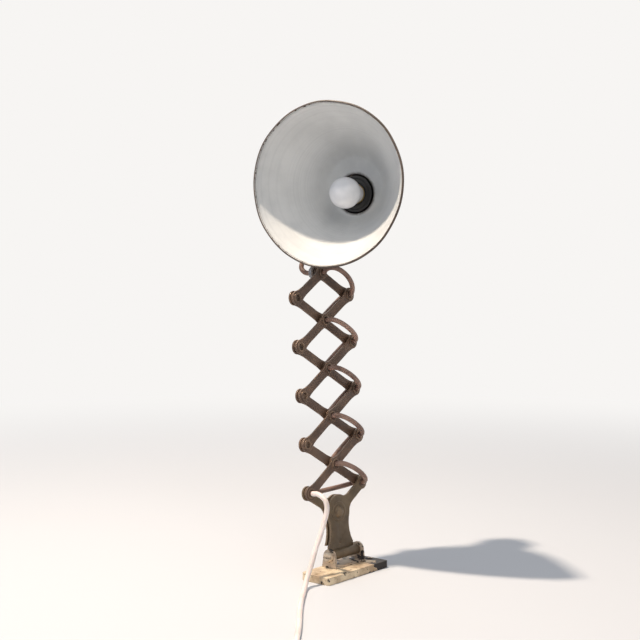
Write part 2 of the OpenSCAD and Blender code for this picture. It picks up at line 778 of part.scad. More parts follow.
// Cord from the middle of pivot a to the middle of pivot b, bowed out by depth and up by bulge.
function loop_path(a, b, depth, bulge) =
    let (side = sign(depth), out = [0, 0, side * lead], far = [0, 0, side * lead + depth], up = [0, bulge, 0])
    concat(
        [a],
        [for (i = [0 : loop_steps]) bezier(a + out, a + far + up, b + far + up, b + out, i / loop_steps)],
        [b]);

module loop_cord(a, b, depth, bulge) {
    in_scissor() tube(loop_path(a, b, depth, bulge), [sin(link_angle), cos(link_angle), 0]);
}

module front_cord(k) color([0.5, 0.36, 0.33])
    loop_cord(c_pivot(k), r_pivot(k), front_reach, k == cells ? top_bulge : loop_bulge);

module rear_cord(k) color([0.5, 0.36, 0.33])
    loop_cord(r_pivot(k), c_pivot(k - 1), rear_reach, 3);

cross_end = skin + flange_t + 1;

module cross_cord() color([0.6, 0.48, 0.44]) in_scissor() {
    a = r_pivot(1);
    b = l_pivot(1);
    sag = [0, -5, rear_reach - 3];
    out = [0, 0, -lead];
    path = concat(
        [a],
        [for (i = [0 : loop_steps + 2]) bezier(a + out, a + out + sag, b + out + sag, b + out, i / (loop_steps + 2))],
        [b, b + [0, 0, cross_end]]);
    tube(path, [0, 1, 0]);
}

// ---- free cord: over the table, out of a hollow pivot ----

// Where the cord leaves the hollow pivot, in the lamp's own frame.
exit_scissor = l_pivot(1) + [0, 0, cross_end - barrel_offset];
exit_point = [hinge_x + exit_scissor[0],
              hinge_y + exit_scissor[1] * sin(lean) - exit_scissor[2] * cos(lean),
              hinge_z + exit_scissor[1] * cos(lean) + exit_scissor[2] * sin(lean)];
exit_way = [0, -cos(lean), sin(lean)];
table = cord_r + 0.05;

cord_route = [
    exit_point, exit_point + 4 * exit_way, exit_point + 8 * exit_way,
    [-44, 2, 107.5], [-44, -4.5, 101.5], [-44, -6, 91], [-48, -5, 77], [-56, -5, 61],
    [-65, -5, 46], [-73, -6, 31], [-82, -7, 17], [-94, -12, 6], [-114, -26, table],
    [-140, -45, table], [-170, -68, table], [-205, -97, table], [-240, -125, table],
    [-275, -152, table], [-314, -185, table], [-326, -195.5, table], [-332, -200.4, table]
];
route_steps = 2;
cord_path = smooth(cord_route, route_steps);
bend_end = 6 * route_steps;
drop_end = 12 * route_steps;

module cord_bend() color([0.92, 0.84, 0.82]) tube(cord_path, [1, 0, 0], 0, bend_end);
module cord_drop() color([0.92, 0.84, 0.82]) tube(cord_path, [1, 0, 0], bend_end, drop_end);
module cord_run() color([0.92, 0.84, 0.82]) tube(cord_path, [1, 0, 0], drop_end);

// Coil: the spiral winds in on the table, climbs one cord where it turns, and winds out on top.
coil_turns = 6.36;
coil_pitch = cord_d + 0.6;
coil_outer_r = 44;
coil_steps = 24;
coil_sides = 6;
coil_start = cord_route[len(cord_route) - 1];
coil_way = unit(coil_start - cord_route[len(cord_route) - 2]);
coil_angle = atan2(-coil_way[0], coil_way[1]);
coil_lead = 8;
coil_centre = coil_start + coil_lead * coil_way
    - coil_outer_r * [cos(coil_angle), sin(coil_angle), 0];

function coil_r(turn) = coil_outer_r - coil_pitch * (coil_turns / 2 - abs(turn - coil_turns / 2));
function coil_climb(turn) = coil_pitch * min(max((turn - coil_turns / 2) * 2 + 0.5, 0), 1);
function coil_point(turn) =
    let (a = coil_angle + 360 * turn, r = coil_r(turn))
    [coil_centre[0] + r * cos(a), coil_centre[1] + r * sin(a), table + coil_climb(turn)];
coil_loops = [for (i = [0 : coil_turns * coil_steps]) coil_point(i / coil_steps)];
coil_exit = coil_point(coil_turns);
coil_exit_angle = coil_angle + 360 * coil_turns;
coil_exit_way = [-sin(coil_exit_angle), cos(coil_exit_angle), 0];
plug_height = 7.5;
plug_lead = 8;
plug_mouth = [coil_exit[0], coil_exit[1], plug_height] + 44 * coil_exit_way;
coil_path = concat(
    [coil_start, coil_start + coil_lead * 0.6 * coil_way],
    coil_loops,
    [for (s = [0.25, 0.5])
        let (p = coil_exit + s * 44 * coil_exit_way) [p[0], p[1], coil_exit[2] + (plug_height - coil_exit[2]) * s * 1.6]],
    [plug_mouth - 9 * coil_exit_way, plug_mouth]);

module cord_coil() color([0.92, 0.84, 0.82]) tube(coil_path, [0, 0, 1], sides = coil_sides);

coil_gap = min([for (i = [0 : len(coil_loops) - 1], j = [i + coil_steps / 2 : 1 : len(coil_loops) - 1])
    norm(coil_loops[i] - coil_loops[j])]) - cord_d;
echo(coil_gap = coil_gap);
echo(free_cord_length = path_length(cord_path) + path_length(coil_path));

module plug() color([0.12, 0.12, 0.12]) {
    body_length = 34;
    grip_length = 12;
    pin_pitch = 19;
    pin_r = 2.4;
    pin_length = 19;
    translate(plug_mouth) rotate([0, 0, coil_exit_angle]) rotate([-90, 0, 0]) {
        cylinder(h = grip_length, r1 = 4.6, r2 = 6.5);
        difference() {
            translate([0, 0, grip_length]) linear_extrude(body_length) {
                square([22, 14], center = true);
                for (side = [-1, 1]) translate([side * 11, 0]) circle(r = 7);
            }
            for (side = [-1, 1]) translate([side * 21, 0, grip_length - 1]) rotate([0, side * 5, 0])
                translate([-4, -8, 0]) cube([8, 16, body_length - 8]);
        }
        for (side = [-1, 1]) translate([side * pin_pitch / 2, 0, grip_length + body_length])
            cylinder(h = pin_length, r = pin_r);
    }
}

// ---- cord of the head ----

top = c_pivot(cells);
// Points above the top crossing: from its hollow bolt, round the back and along under the arm.
arm_route = [
    [0, 0, 0], [0, 0, -9], [0, 0, -18], [-1, 2, -26], [0, 8, -32], [4, 16, -32], [10, 22, -25],
    [17, 26, -14], [26, 27, -5], [36, 28, 1], [48, 29, 7], [58, 31, 12], [64, 32, 15]
];
gland_way = [1, -1] / sqrt(2);
// A point of the head's middle plane, from the head's frame into the scissor's.
function head_turned(p) =
    let (x = p[0] * cos(shade_rise) + p[1] * sin(shade_rise), y = p[1] * cos(shade_rise) - p[0] * sin(shade_rise))
    [x * cos(shade_turn), y, -x * sin(shade_turn)];
pivot_point = [arm_reach, tilt_height, eye_middle + arm_forward];
mouth = pivot_point + head_turned(gland_base + (gland_seat + gland_length) * gland_way);
mouth_way = head_turned(gland_way);
neck_route = concat(arm_route, [
    [71, 32.5, 18], [80, 33, 21], [89, 34.5, 23], [97, 38, 24], [102, 44, 24],
    [105, 52, 24], mouth + 7 * mouth_way, mouth, mouth - gland_length * mouth_way
]);
neck_path = smooth(neck_route, route_steps);
arm_end = 12 * route_steps;
neck_end = 17 * route_steps;

module arm_cord() color([0.5, 0.36, 0.33]) at_top() tube(neck_path, [0, 1, 0.3], 0, arm_end);
module neck_cord() color([0.5, 0.36, 0.33]) at_top() tube(neck_path, [0.3, 0, 1], arm_end, neck_end);
module head_cord() color([0.5, 0.36, 0.33]) at_top() tube(neck_path, [0.3, 0, 1], neck_end);

foot_plate();
hinge_bracket();
bracket_screws();
hinge_bolt();
hinge_nut();
front_cheek();
rear_cheek();
main_screw();
main_nut();
front_link(1);  // front_link_1
front_link(2);  // front_link_2
front_link(3);  // front_link_3
front_link(4);  // front_link_4
front_half_link();
back_link(1);  // back_link_1
back_link(2);  // back_link_2
back_link(3);  // back_link_3
back_link(4);  // back_link_4
back_half_link();
front_rivets(1);  // front_rivets_1
front_rivets(2);  // front_rivets_2
front_rivets(3);  // front_rivets_3
front_rivets(4);  // front_rivets_4
top_rivet();
back_rivet(1);  // back_rivet_1
back_rivet(2);  // back_rivet_2
back_rivet(3);  // back_rivet_3
back_rivet(4);  // back_rivet_4
back_rivet(5);  // back_rivet_5
head_bolt();
clamp_nut();
head_arm();
swivel_block();
tilt_bolt();
wing_nut();
shade();
shade_cup();
cord_gland();
lampholder();
bulb_glass();
bulb_cap();
front_cord(1);  // front_cord_1
front_cord(2);  // front_cord_2
front_cord(3);  // front_cord_3
front_cord(4);  // front_cord_4
front_cord(5);  // front_cord_5
rear_cord(2);  // rear_cord_2
rear_cord(3);  // rear_cord_3
rear_cord(4);  // rear_cord_4
rear_cord(5);  // rear_cord_5
cross_cord();
cord_bend();
cord_drop();
cord_run();
cord_coil();
plug();
arm_cord();
neck_cord();
head_cord();
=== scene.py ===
"""Accordion desk lamp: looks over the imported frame.

Sizes inside the classes are millimetres in the part's own frame; meshes are turned into metres when they are
placed. Each sub-assembly is a class with its sizes as fields, and each finish is a small frozen dataclass.
"""

import logging
import math
from dataclasses import dataclass
from enum import Enum
from typing import Callable, Iterable, Sequence

import bmesh
import bpy
from mathutils import Matrix, Vector


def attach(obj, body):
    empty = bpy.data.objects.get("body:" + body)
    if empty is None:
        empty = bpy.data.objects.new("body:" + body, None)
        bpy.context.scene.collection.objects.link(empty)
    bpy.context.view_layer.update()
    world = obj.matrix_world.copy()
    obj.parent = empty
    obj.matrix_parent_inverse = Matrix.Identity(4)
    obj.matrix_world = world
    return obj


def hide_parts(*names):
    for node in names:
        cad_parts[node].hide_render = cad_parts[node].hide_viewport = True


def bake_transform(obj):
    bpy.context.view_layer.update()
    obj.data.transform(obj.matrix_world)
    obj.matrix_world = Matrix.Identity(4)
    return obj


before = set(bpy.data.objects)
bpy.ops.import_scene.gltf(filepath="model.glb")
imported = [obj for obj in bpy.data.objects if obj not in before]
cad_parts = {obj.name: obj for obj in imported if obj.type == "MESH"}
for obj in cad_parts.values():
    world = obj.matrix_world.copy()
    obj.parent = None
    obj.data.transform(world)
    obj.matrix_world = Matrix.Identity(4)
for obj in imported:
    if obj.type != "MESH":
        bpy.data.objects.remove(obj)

log = logging.getLogger("lamp")

MM = 0.001
Point = tuple[float, float, float]
Profile = Sequence[tuple[float, float]]
Colour = tuple[float, float, float, float]
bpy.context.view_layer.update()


def rgb(red: int, green: int, blue: int) -> Colour:
    """A colour given in display values from 0 to 255, as linear light."""
    shown = (c / 255 for c in (red, green, blue))
    return tuple(c / 12.92 if c <= 0.04045 else ((c + 0.055) / 1.055) ** 2.4 for c in shown) + (1.0,)


def linked(name: str, data: bpy.types.ID) -> bpy.types.Object:
    """A new object with this data, in the scene."""
    made = bpy.data.objects.new(name, data)
    bpy.context.scene.collection.objects.link(made)
    return made


# ---- the lamp's frame ----


@dataclass(frozen=True)
class LampFrame:
    """Where the lamp's main axes lie, in millimetres, as the part's source has them."""

    hinge: Point = (11.0, 10.0, 24.0)
    lean: float = 5.0
    barrel_offset: float = 7.8
    cheek_height: float = 54.0
    link_half: float = 62.0
    link_angle: float = 30.5
    face: float = 1.6
    skin: float = 4.0
    cells: int = 5
    arm_reach: float = 73.0
    arm_forward: float = 35.5
    eye_middle: float = -5.7
    tilt_height: float = 63.994
    shade_turn: float = 13.0
    axis_rise: float = 36.0
    gland_at: tuple[float, float] = (13.0, 14.5)

    @property
    def rise(self) -> float:
        """Half the height of one scissor cell."""
        return self.link_half * math.sin(math.radians(self.link_angle))

    @property
    def reach(self) -> float:
        """Half the width of the scissor."""
        return self.link_half * math.cos(math.radians(self.link_angle))

    def crossing(self, k: int) -> Vector:
        """Crossing k on the scissor's middle line; 0 is the first."""
        return Vector((0, self.cheek_height + 2 * k * self.rise, 0))

    def side(self, k: int, sign: int) -> Vector:
        """Outer pivot k on the right (sign 1) or the left (sign -1)."""
        return Vector((sign * self.reach, self.cheek_height + (2 * k - 1) * self.rise, 0))

    def scissor(self) -> Matrix:
        """Local x across the scissor, y up along it, z out of its front face."""
        return (
            Matrix.Translation(self.hinge)
            @ Matrix.Rotation(math.radians(90 - self.lean), 4, "X")
            @ Matrix.Translation((0, 0, -self.barrel_offset))
        )

    def top(self) -> Matrix:
        """The scissor's frame with its origin at the top crossing."""
        return self.scissor() @ Matrix.Translation(self.crossing(self.cells))

    def head(self) -> Matrix:
        """Local -x is the way the shade faces, z the tilt axis, the origin the tilt pivot."""
        place = (self.arm_reach, self.tilt_height, self.eye_middle + self.arm_forward)
        return (
            self.top()
            @ Matrix.Translation(place)
            @ Matrix.Rotation(math.radians(self.shade_turn), 4, "Y")
        )

    def shade_axis(self) -> Matrix:
        """Local z runs forward along the shade's axis."""
        return self.head() @ Matrix.Translation((0, self.axis_rise, 0)) @ Matrix.Rotation(math.radians(-90), 4, "Y")

    def gland_axis(self) -> Matrix:
        """Local z runs out of the cup's sloping shoulder, backward and down."""
        return (
            self.head()
            @ Matrix.Translation((*self.gland_at, 0))
            @ Matrix.Rotation(math.radians(-45), 4, "Z")
            @ Matrix.Rotation(math.radians(90), 4, "Y")
            @ Matrix.Translation((0, 0, 1.5))
        )


LAMP = LampFrame()


# ---- small tools for node trees ----


class Graph:
    """Builds a shader or geometry node tree with short calls."""

    def __init__(self, tree: bpy.types.NodeTree) -> None:
        """Starts on a tree.

        Args:
            tree: the node tree that the nodes go into.
        """
        self.tree = tree

    @classmethod
    def blank(cls, owner: bpy.types.Material | bpy.types.World) -> "Graph":
        """The emptied node tree of a material or a world."""
        owner.use_nodes = True
        owner.node_tree.nodes.clear()
        return cls(owner.node_tree)

    def node(self, kind: str, inputs: dict[str | int, object] | None = None, **settings: object) -> bpy.types.Node:
        """Adds a node.

        Args:
            kind: the node's Blender type name.
            inputs: values or sockets for its inputs, by name or number.
            settings: the node's own properties.

        Returns:
            The new node.
        """
        node = self.tree.nodes.new(kind)
        for name, value in settings.items():
            setattr(node, name, value)
        for name, value in (inputs or {}).items():
            self.feed(node.inputs[name], value)
        return node

    def feed(self, socket: bpy.types.NodeSocket, value: object) -> None:
        """Links a socket into another one, or sets its value."""
        if isinstance(value, bpy.types.NodeSocket):
            self.tree.links.new(value, socket)
        else:
            socket.default_value = value

    def math(self, operation: str, *values: object, clamp: bool = False) -> bpy.types.NodeSocket:
        """Result of a Math node on the values."""
        node = self.node("ShaderNodeMath", dict(enumerate(values)), operation=operation, use_clamp=clamp)
        return node.outputs[0]

    def plus(self, *values: object) -> bpy.types.NodeSocket:
        """Sum of two values."""
        return self.math("ADD", *values)

    def minus(self, *values: object) -> bpy.types.NodeSocket:
        """First value less the second."""
        return self.math("SUBTRACT", *values)

    def times(self, *values: object) -> bpy.types.NodeSocket:
        """Product of two values."""
        return self.math("MULTIPLY", *values)

    def vector(self, operation: str, *values: object) -> bpy.types.NodeSocket:
        """Vector result of a Vector Math node on the values."""
        node = self.node("ShaderNodeVectorMath", dict(enumerate(values)), operation=operation)
        return node.outputs["Value" if operation in {"DOT_PRODUCT", "LENGTH", "DISTANCE"} else "Vector"]

    def mix(self, amount: object, first: object, second: object) -> bpy.types.NodeSocket:
        """Colour between first and second."""
        node = self.node("ShaderNodeMix", data_type="RGBA")
        for socket, value in zip((node.inputs[0], node.inputs[6], node.inputs[7]), (amount, first, second)):
            self.feed(socket, value)
        return node.outputs[2]

    def steps(
        self, value: object, low: float, high: float, bottom: float = 0.0, top: float = 1.0
    ) -> bpy.types.NodeSocket:
        """Smooth step of value from low..high to bottom..top."""
        node = self.node(
            "ShaderNodeMapRange", {0: value, 1: low, 2: high, 3: bottom, 4: top}, interpolation_type="SMOOTHSTEP"
        )
        return node.outputs[0]

    def noise(self, where: object, scale: object, detail: float = 3.0, rough: float = 0.55) -> bpy.types.NodeSocket:
        """Value of a Noise texture."""
        inputs = {"Vector": where, "Scale": scale, "Detail": detail, "Roughness": rough}
        return self.node("ShaderNodeTexNoise", inputs).outputs[0]

    def mapped(self, where: object, scale: Point = (1, 1, 1), shift: Point = (0, 0, 0)) -> bpy.types.NodeSocket:
        """Coordinates through a Mapping node."""
        inputs = {"Vector": where, "Location": shift, "Scale": scale}
        return self.node("ShaderNodeMapping", inputs).outputs[0]


def shader_group(
    name: str, inputs: dict[str, tuple[str, object]], outputs: dict[str, str], fill: Callable[..., dict]
) -> bpy.types.NodeTree:
    """Builds a shader node group once.

    Args:
        name: the group's name.
        inputs: socket type and first value of each input.
        outputs: socket type of each output.
        fill: called with the Graph and the input sockets by name; gives the output sockets by name.

    Returns:
        The group's tree.
    """
    tree = bpy.data.node_groups.get(name)
    if tree:
        return tree
    tree = bpy.data.node_groups.new(name, "ShaderNodeTree")
    for label, (kind, value) in inputs.items():
        socket = tree.interface.new_socket(label, in_out="INPUT", socket_type=kind)
        if value is not None:
            socket.default_value = value
    for label, kind in outputs.items():
        tree.interface.new_socket(label, in_out="OUTPUT", socket_type=kind)
    graph = Graph(tree)
    results = fill(graph, graph.node("NodeGroupInput").outputs)
    graph.node("NodeGroupOutput", results)
    return tree


FLOAT, VECTOR = "NodeSocketFloat", "NodeSocketVector"


def edge_wear_group() -> bpy.types.NodeTree:
    """Mask that is 1 where a handled edge has rubbed through, broken up by noise."""

    def fill(g: Graph, given: object) -> dict[str, object]:
        """Builds the nodes and returns the outputs."""
        rounded = g.node("ShaderNodeBevel", {"Radius": given["Width"]}, samples=4).outputs[0]
        true = g.node("ShaderNodeNewGeometry").outputs["Normal"]
        turned = g.minus(1.0, g.vector("DOT_PRODUCT", rounded, true))
        break_up = g.noise(given["Vector"], given["Breakup"], 4.0, 0.6)
        lifted = g.plus(g.times(turned, 9.0), g.times(g.minus(break_up, 0.5), 1.6))
        return {"Mask": g.math("MULTIPLY", g.steps(lifted, 0.25, 0.8), given["Amount"], clamp=True)}

    inputs = {"Vector": (VECTOR, None), "Width": (FLOAT, 0.0012), "Amount": (FLOAT, 1.0), "Breakup": (FLOAT, 300.0)}
    return shader_group("handled_edges", inputs, {"Mask": FLOAT}, fill)


def mottle_group() -> bpy.types.NodeTree:
    """Slow blotches and fine specks, as age leaves them on paint or metal."""

    def fill(g: Graph, given: object) -> dict[str, object]:
        """Builds the nodes and returns the outputs."""
        where = given["Vector"]
        broad = g.noise(where, given["Scale"], 5.0, 0.6)
        fine = g.noise(where, g.times(given["Scale"], 11.0), 4.0, 0.65)
        return {
            "Blotches": g.steps(broad, 0.36, 0.66),
            "Specks": g.steps(fine, 0.6, 0.72),
            "Grain": fine,
        }

    inputs = {"Vector": (VECTOR, None), "Scale": (FLOAT, 40.0)}
    return shader_group("age_mottle", inputs, {"Blotches": FLOAT, "Specks": FLOAT, "Grain": FLOAT}, fill)


def scratch_group() -> bpy.types.NodeTree:
    """Thin scratches from noise drawn out along one direction."""

    def fill(g: Graph, given: object) -> dict[str, object]:
        """Builds the nodes and returns the outputs."""
        stretch = {"Vector": given["Vector"], "Scale": (1.0, 1.0, 14.0), "Rotation": (0.3, 0.5, 0.0)}
        drawn = g.node("ShaderNodeMapping", stretch).outputs[0]
        lines = g.noise(drawn, given["Scale"], 2.0, 0.5)
        return {"Mask": g.math("MULTIPLY", g.steps(lines, 0.66, 0.74), given["Amount"], clamp=True)}

    inputs = {"Vector": (VECTOR, None), "Scale": (FLOAT, 120.0), "Amount": (FLOAT, 1.0)}
    return shader_group("fine_scratches", inputs, {"Mask": FLOAT}, fill)


def use_group(g: Graph, tree: bpy.types.NodeTree, **inputs: object) -> dict[str, bpy.types.NodeSocket]:
    """Places a group in a material and returns its outputs by name."""
    node = g.node("ShaderNodeGroup", node_tree=tree)
    for name, value in inputs.items():
        g.feed(node.inputs[name], value)
    return {socket.name: socket for socket in node.outputs}


# ---- finishes ----


@dataclass(frozen=True)
class Finish:
    """A material made of nodes; each kind of finish fills its own tree."""

    name: str

    def material(self) -> bpy.types.Material:
        """The material, built the first time it is asked for."""
        known = bpy.data.materials.get(self.name)
        if known:
            return known
        made = bpy.data.materials.new(self.name)
        graph = Graph.blank(made)
        surface = graph.node("ShaderNodeBsdfPrincipled")
        graph.node("ShaderNodeOutputMaterial", {"Surface": surface.outputs[0]})
        self.fill(graph, surface)
        return made

    def fill(self, g: Graph, surface: bpy.types.Node) -> None:
        """Sets the shader's inputs; each finish has its own."""
        raise NotImplementedError

    @staticmethod
    def here(g: Graph) -> bpy.types.NodeSocket:
        """The piece's Object coordinates."""
        return g.node("ShaderNodeTexCoord").outputs["Object"]

    @staticmethod
    def bump(g: Graph, surface: bpy.types.Node, height: object, depth: float, strength: float = 1.0) -> None:
        """Sends a height to the shader's Normal.

        Args:
            g: the graph of the material.
            surface: the shader.
            height: socket with the height, 0 to 1.
            depth: how deep the bump is, in metres.
            strength: how much of it shows.
        """
        node = g.node("ShaderNodeBump", {"Strength": strength, "Distance": depth, "Height": height})
        g.feed(surface.inputs["Normal"], node.outputs[0])


@dataclass(frozen=True)
class WornLacquer(Finish):
    """Old dark lacquer on pressed steel, blotched with age and rubbed to dull metal along its edges; the light metal
    on the edges is partly real wear and partly a painted highlight.
    """

    paint: Colour = rgb(80, 59, 45)
    faded: Colour = rgb(106, 81, 63)
    grime: Colour = rgb(38, 28, 22)
    metal: Colour = rgb(172, 148, 126)
    gloss: float = 0.42
    wear: float = 0.8
    edge: float = 0.0011

    def fill(self, g: Graph, surface: bpy.types.Node) -> None:
        """Mixes paint, faded paint, grime and bare edges, the bare edges also serving as painted highlights."""
        here = self.here(g)
        age = use_group(g, mottle_group(), Vector=here, Scale=34.0)
        lines = use_group(g, scratch_group(), Vector=here, Scale=150.0, Amount=0.35)["Mask"]
        worn = use_group(g, edge_wear_group(), Vector=here, Width=self.edge, Amount=self.wear, Breakup=260.0)["Mask"]
        colour = g.mix(age["Blotches"], self.paint, self.faded)
        colour = g.mix(g.times(age["Specks"], 0.55), colour, self.grime)
        colour = g.mix(lines, colour, self.faded)
        # Rubbed edges turn a light metal colour: real wear, which also stands in for painted edge highlights.
        colour = g.mix(worn, colour, self.metal)
        g.feed(surface.inputs["Base Color"], colour)
        dull = g.plus(self.gloss, g.times(age["Grain"], 0.22))
        g.feed(surface.inputs["Roughness"], g.math("SUBTRACT", dull, g.math("MULTIPLY", worn, 0.12), clamp=True))
        g.feed(surface.inputs["Metallic"], g.times(worn, 0.75))
        height = g.minus(g.times(age["Grain"], 0.6), g.times(worn, 0.5))
        self.bump(g, surface, height, 0.00012, 0.6)


@dataclass(frozen=True)
class ChippedPaint(Finish):
    """Thick cream house paint over iron, chipped to the dark metal and stained."""

    cream: Colour = rgb(222, 203, 172)
    stain: Colour = rgb(140, 108, 76)
    iron: Colour = rgb(40, 33, 31)
    chip_level: float = 0.62
    bare_end: bool = True

    def fill(self, g: Graph, surface: bpy.types.Node) -> None:
        """Mixes cream paint, brown stain and chips down to the iron."""
        here = self.here(g)
        age = use_group(g, mottle_group(), Vector=here, Scale=46.0)
        worn = use_group(g, edge_wear_group(), Vector=here, Width=0.0016, Amount=1.0, Breakup=140.0)["Mask"]
        chips = g.noise(g.mapped(here, shift=(0.013, 0.004, 0.002)), 95.0, 4.0, 0.62)
        if self.bare_end:
            split = g.node("ShaderNodeSeparateXYZ", {0: here})
            end = g.steps(split.outputs[0], 0.012, 0.058, 0.0, 0.36)
            front = g.steps(split.outputs[1], -0.012, -0.026)
            end = g.times(end, g.plus(0.55, g.times(front, 0.45)))
            chips = g.plus(chips, end)
        chipped = g.steps(chips, self.chip_level, self.chip_level + 0.025)
        chipped = g.math("MAXIMUM", chipped, g.times(worn, 0.85))
        colour = g.mix(g.times(age["Blotches"], 0.7), self.cream, self.stain)
        colour = g.mix(g.times(age["Specks"], 0.5), colour, self.stain)
        colour = g.mix(chipped, colour, self.iron)
        g.feed(surface.inputs["Base Color"], colour)
        g.feed(surface.inputs["Roughness"], g.plus(0.48, g.times(age["Grain"], 0.25)))
        g.feed(surface.inputs["Metallic"], g.times(chipped, 0.25))
        height = g.minus(g.times(age["Grain"], 0.35), chipped)
        self.bump(g, surface, height, 0.00035, 0.7)


@dataclass(frozen=True)
class BareMetal(Finish):
    """Bare or thinly painted metal, dulled and spotted."""

    metal: Colour = rgb(150, 134, 118)
    tarnish: Colour = rgb(74, 58, 48)
    gloss: float = 0.34
    shine: float = 0.85

    def fill(self, g: Graph, surface: bpy.types.Node) -> None:
        """Mixes clean and tarnished metal."""
        here = self.here(g)
        age = use_group(g, mottle_group(), Vector=here, Scale=85.0)
        lines = use_group(g, scratch_group(), Vector=here, Scale=320.0, Amount=0.5)["Mask"]
        dirty = g.math("MAXIMUM", g.times(age["Blotches"], 0.75), g.times(age["Specks"], 0.9))
        colour = g.mix(dirty, self.metal, self.tarnish)
        g.feed(surface.inputs["Base Color"], g.mix(lines, colour, self.metal))
        g.feed(surface.inputs["Roughness"], g.plus(self.gloss, g.times(dirty, 0.3)))
        bright = g.math("SUBTRACT", self.shine, g.times(dirty, 0.45), clamp=True)
        g.feed(surface.inputs["Metallic"], bright)
        self.bump(g, surface, age["Grain"], 0.00006, 0.5)


@dataclass(frozen=True)
class Enamel(Finish):
    """Fired enamel inside the shade, faintly marked by spinning and knocks near the rim, with painted shade that
    deepens towards the neck and a painted shadow round the neck hole.
    """

    white: Colour = rgb(214, 215, 214)
    shade_and_mark_grey: Colour = rgb(166, 168, 168)
    neck_shadow_brown: Colour = rgb(52, 40, 34)
    iron: Colour = rgb(58, 46, 40)

    def fill(self, g: Graph, surface: bpy.types.Node) -> None:
        """Reads the shade's own map: u goes round it, v from neck to rim."""
        here = self.here(g)
        way = g.node("ShaderNodeUVMap", uv_map="spun").outputs[0]
        split = g.node("ShaderNodeSeparateXYZ", {0: way})
        age = use_group(g, mottle_group(), Vector=here, Scale=16.0)
        rings = g.noise(g.mapped(way, scale=(0.6, 46.0, 1.0)), 1.0, 3.0, 0.5)
        # Painted shade: the enamel turns greyer deeper in the shade towards the neck, mixed with real age blotches.
        deep = g.steps(split.outputs[1], 0.55, 0.02)
        shade_and_age = g.math("ADD", g.math("MULTIPLY", deep, 0.55), g.math("MULTIPLY", age["Blotches"], 0.28), clamp=True)
        colour = g.mix(shade_and_age, self.white, self.shade_and_mark_grey)
        colour = g.mix(g.times(g.steps(rings, 0.45, 0.7), 0.16), colour, self.shade_and_mark_grey)
        # Painted shadow: a dark brown ring round the neck hole, fading with each point's gap to the hole.
        gap = g.node("ShaderNodeAttribute", attribute_name="neck_gap").outputs["Fac"]
        neck_shadow_mask = g.steps(g.plus(gap, g.times(age["Grain"], 3.0)), 5.5, 1.5)
        colour = g.mix(g.times(neck_shadow_mask, 0.9), colour, self.neck_shadow_brown)
        rim = g.steps(split.outputs[1], 0.955, 0.995)
        nick = g.steps(g.plus(g.noise(here, 210.0, 3.0), g.times(rim, 0.22)), 0.8, 0.84)
        colour = g.mix(nick, colour, self.iron)
        g.feed(surface.inputs["Base Color"], colour)
        g.feed(surface.inputs["Roughness"], g.plus(0.36, g.times(age["Grain"], 0.16)))
        surface.inputs["Coat Weight"].default_value = 0.15
        surface.inputs["Coat Roughness"].default_value = 0.25
        self.bump(g, surface, g.plus(rings, g.times(age["Grain"], 0.3)), 0.00012, 0.5)


@dataclass(frozen=True)
class Moulded(Finish):
    """Moulded plastic, bakelite or rubber with a fine skin and a little dust."""

    body: Colour = rgb(26, 24, 24)
    dust: Colour = rgb(92, 84, 76)
    gloss: float = 0.35
    dusty: float = 0.3
    grain: float = 420.0

    def fill(self, g: Graph, surface: bpy.types.Node) -> None:
        """Mixes the moulded body with dust in its blotches."""
        here = self.here(g)
        age = use_group(g, mottle_group(), Vector=here, Scale=60.0)
        fine = g.noise(here, self.grain, 2.0, 0.5)
        amount = g.math("MULTIPLY", g.math("ADD", age["Blotches"], age["Specks"]), self.dusty, clamp=True)
        g.feed(surface.inputs["Base Color"], g.mix(amount, self.body, self.dust))
        g.feed(surface.inputs["Roughness"], g.plus(self.gloss, g.times(age["Grain"], 0.2)))
        self.bump(g, surface, fine, 0.00005, 0.5)


@dataclass(frozen=True)
class FlexSkin(Finish):
    """Soft plastic skin of the mains cord, with a satin sheen and grubby patches."""

    skin: Colour = rgb(238, 226, 220)
    grubby: Colour = rgb(196, 172, 160)
    grime: float = 0.35

    def fill(self, g: Graph, surface: bpy.types.Node) -> None:
        """Mixes clean skin with handling marks."""
        here = self.here(g)
        age = use_group(g, mottle_group(), Vector=here, Scale=30.0)
        blotches, specks = g.times(age["Blotches"], self.grime), g.times(age["Specks"], self.grime * 0.6)
        marks = g.plus(blotches, specks)
        g.feed(surface.inputs["Base Color"], g.mix(marks, self.skin, self.grubby))
        g.feed(surface.inputs["Roughness"], g.plus(0.4, g.times(age["Grain"], 0.18)))
        surface.inputs["Subsurface Weight"].default_value = 0.08
        surface.inputs["Subsurface Scale"].default_value = 0.002
        self.bump(g, surface, g.noise(here, 520.0, 2.0), 0.00004, 0.5)


@dataclass(frozen=True)
class OpalGlass(Finish):
    """Frosted bulb glass: a white coat inside, a smooth skin outside."""

    white: Colour = rgb(222, 223, 226)
    shadow: Colour = rgb(196, 198, 203)

    def fill(self, g: Graph, surface: bpy.types.Node) -> None:
        """Mixes the coat's faint cloudiness under a glassy skin."""
        here = self.here(g)
        cloud = g.steps(g.noise(here, 55.0, 4.0), 0.35, 0.7)
        g.feed(surface.inputs["Base Color"], g.mix(g.times(cloud, 0.4), self.white, self.shadow))
        g.feed(surface.inputs["Roughness"], g.plus(0.3, g.times(cloud, 0.08)))
        surface.inputs["Subsurface Weight"].default_value = 0.25
        surface.inputs["Subsurface Scale"].default_value = 0.006
        surface.inputs["Subsurface Radius"].default_value = (1.0, 1.0, 1.0)
        surface.inputs["Coat Weight"].default_value = 0.6
        surface.inputs["Coat Roughness"].default_value = 0.08


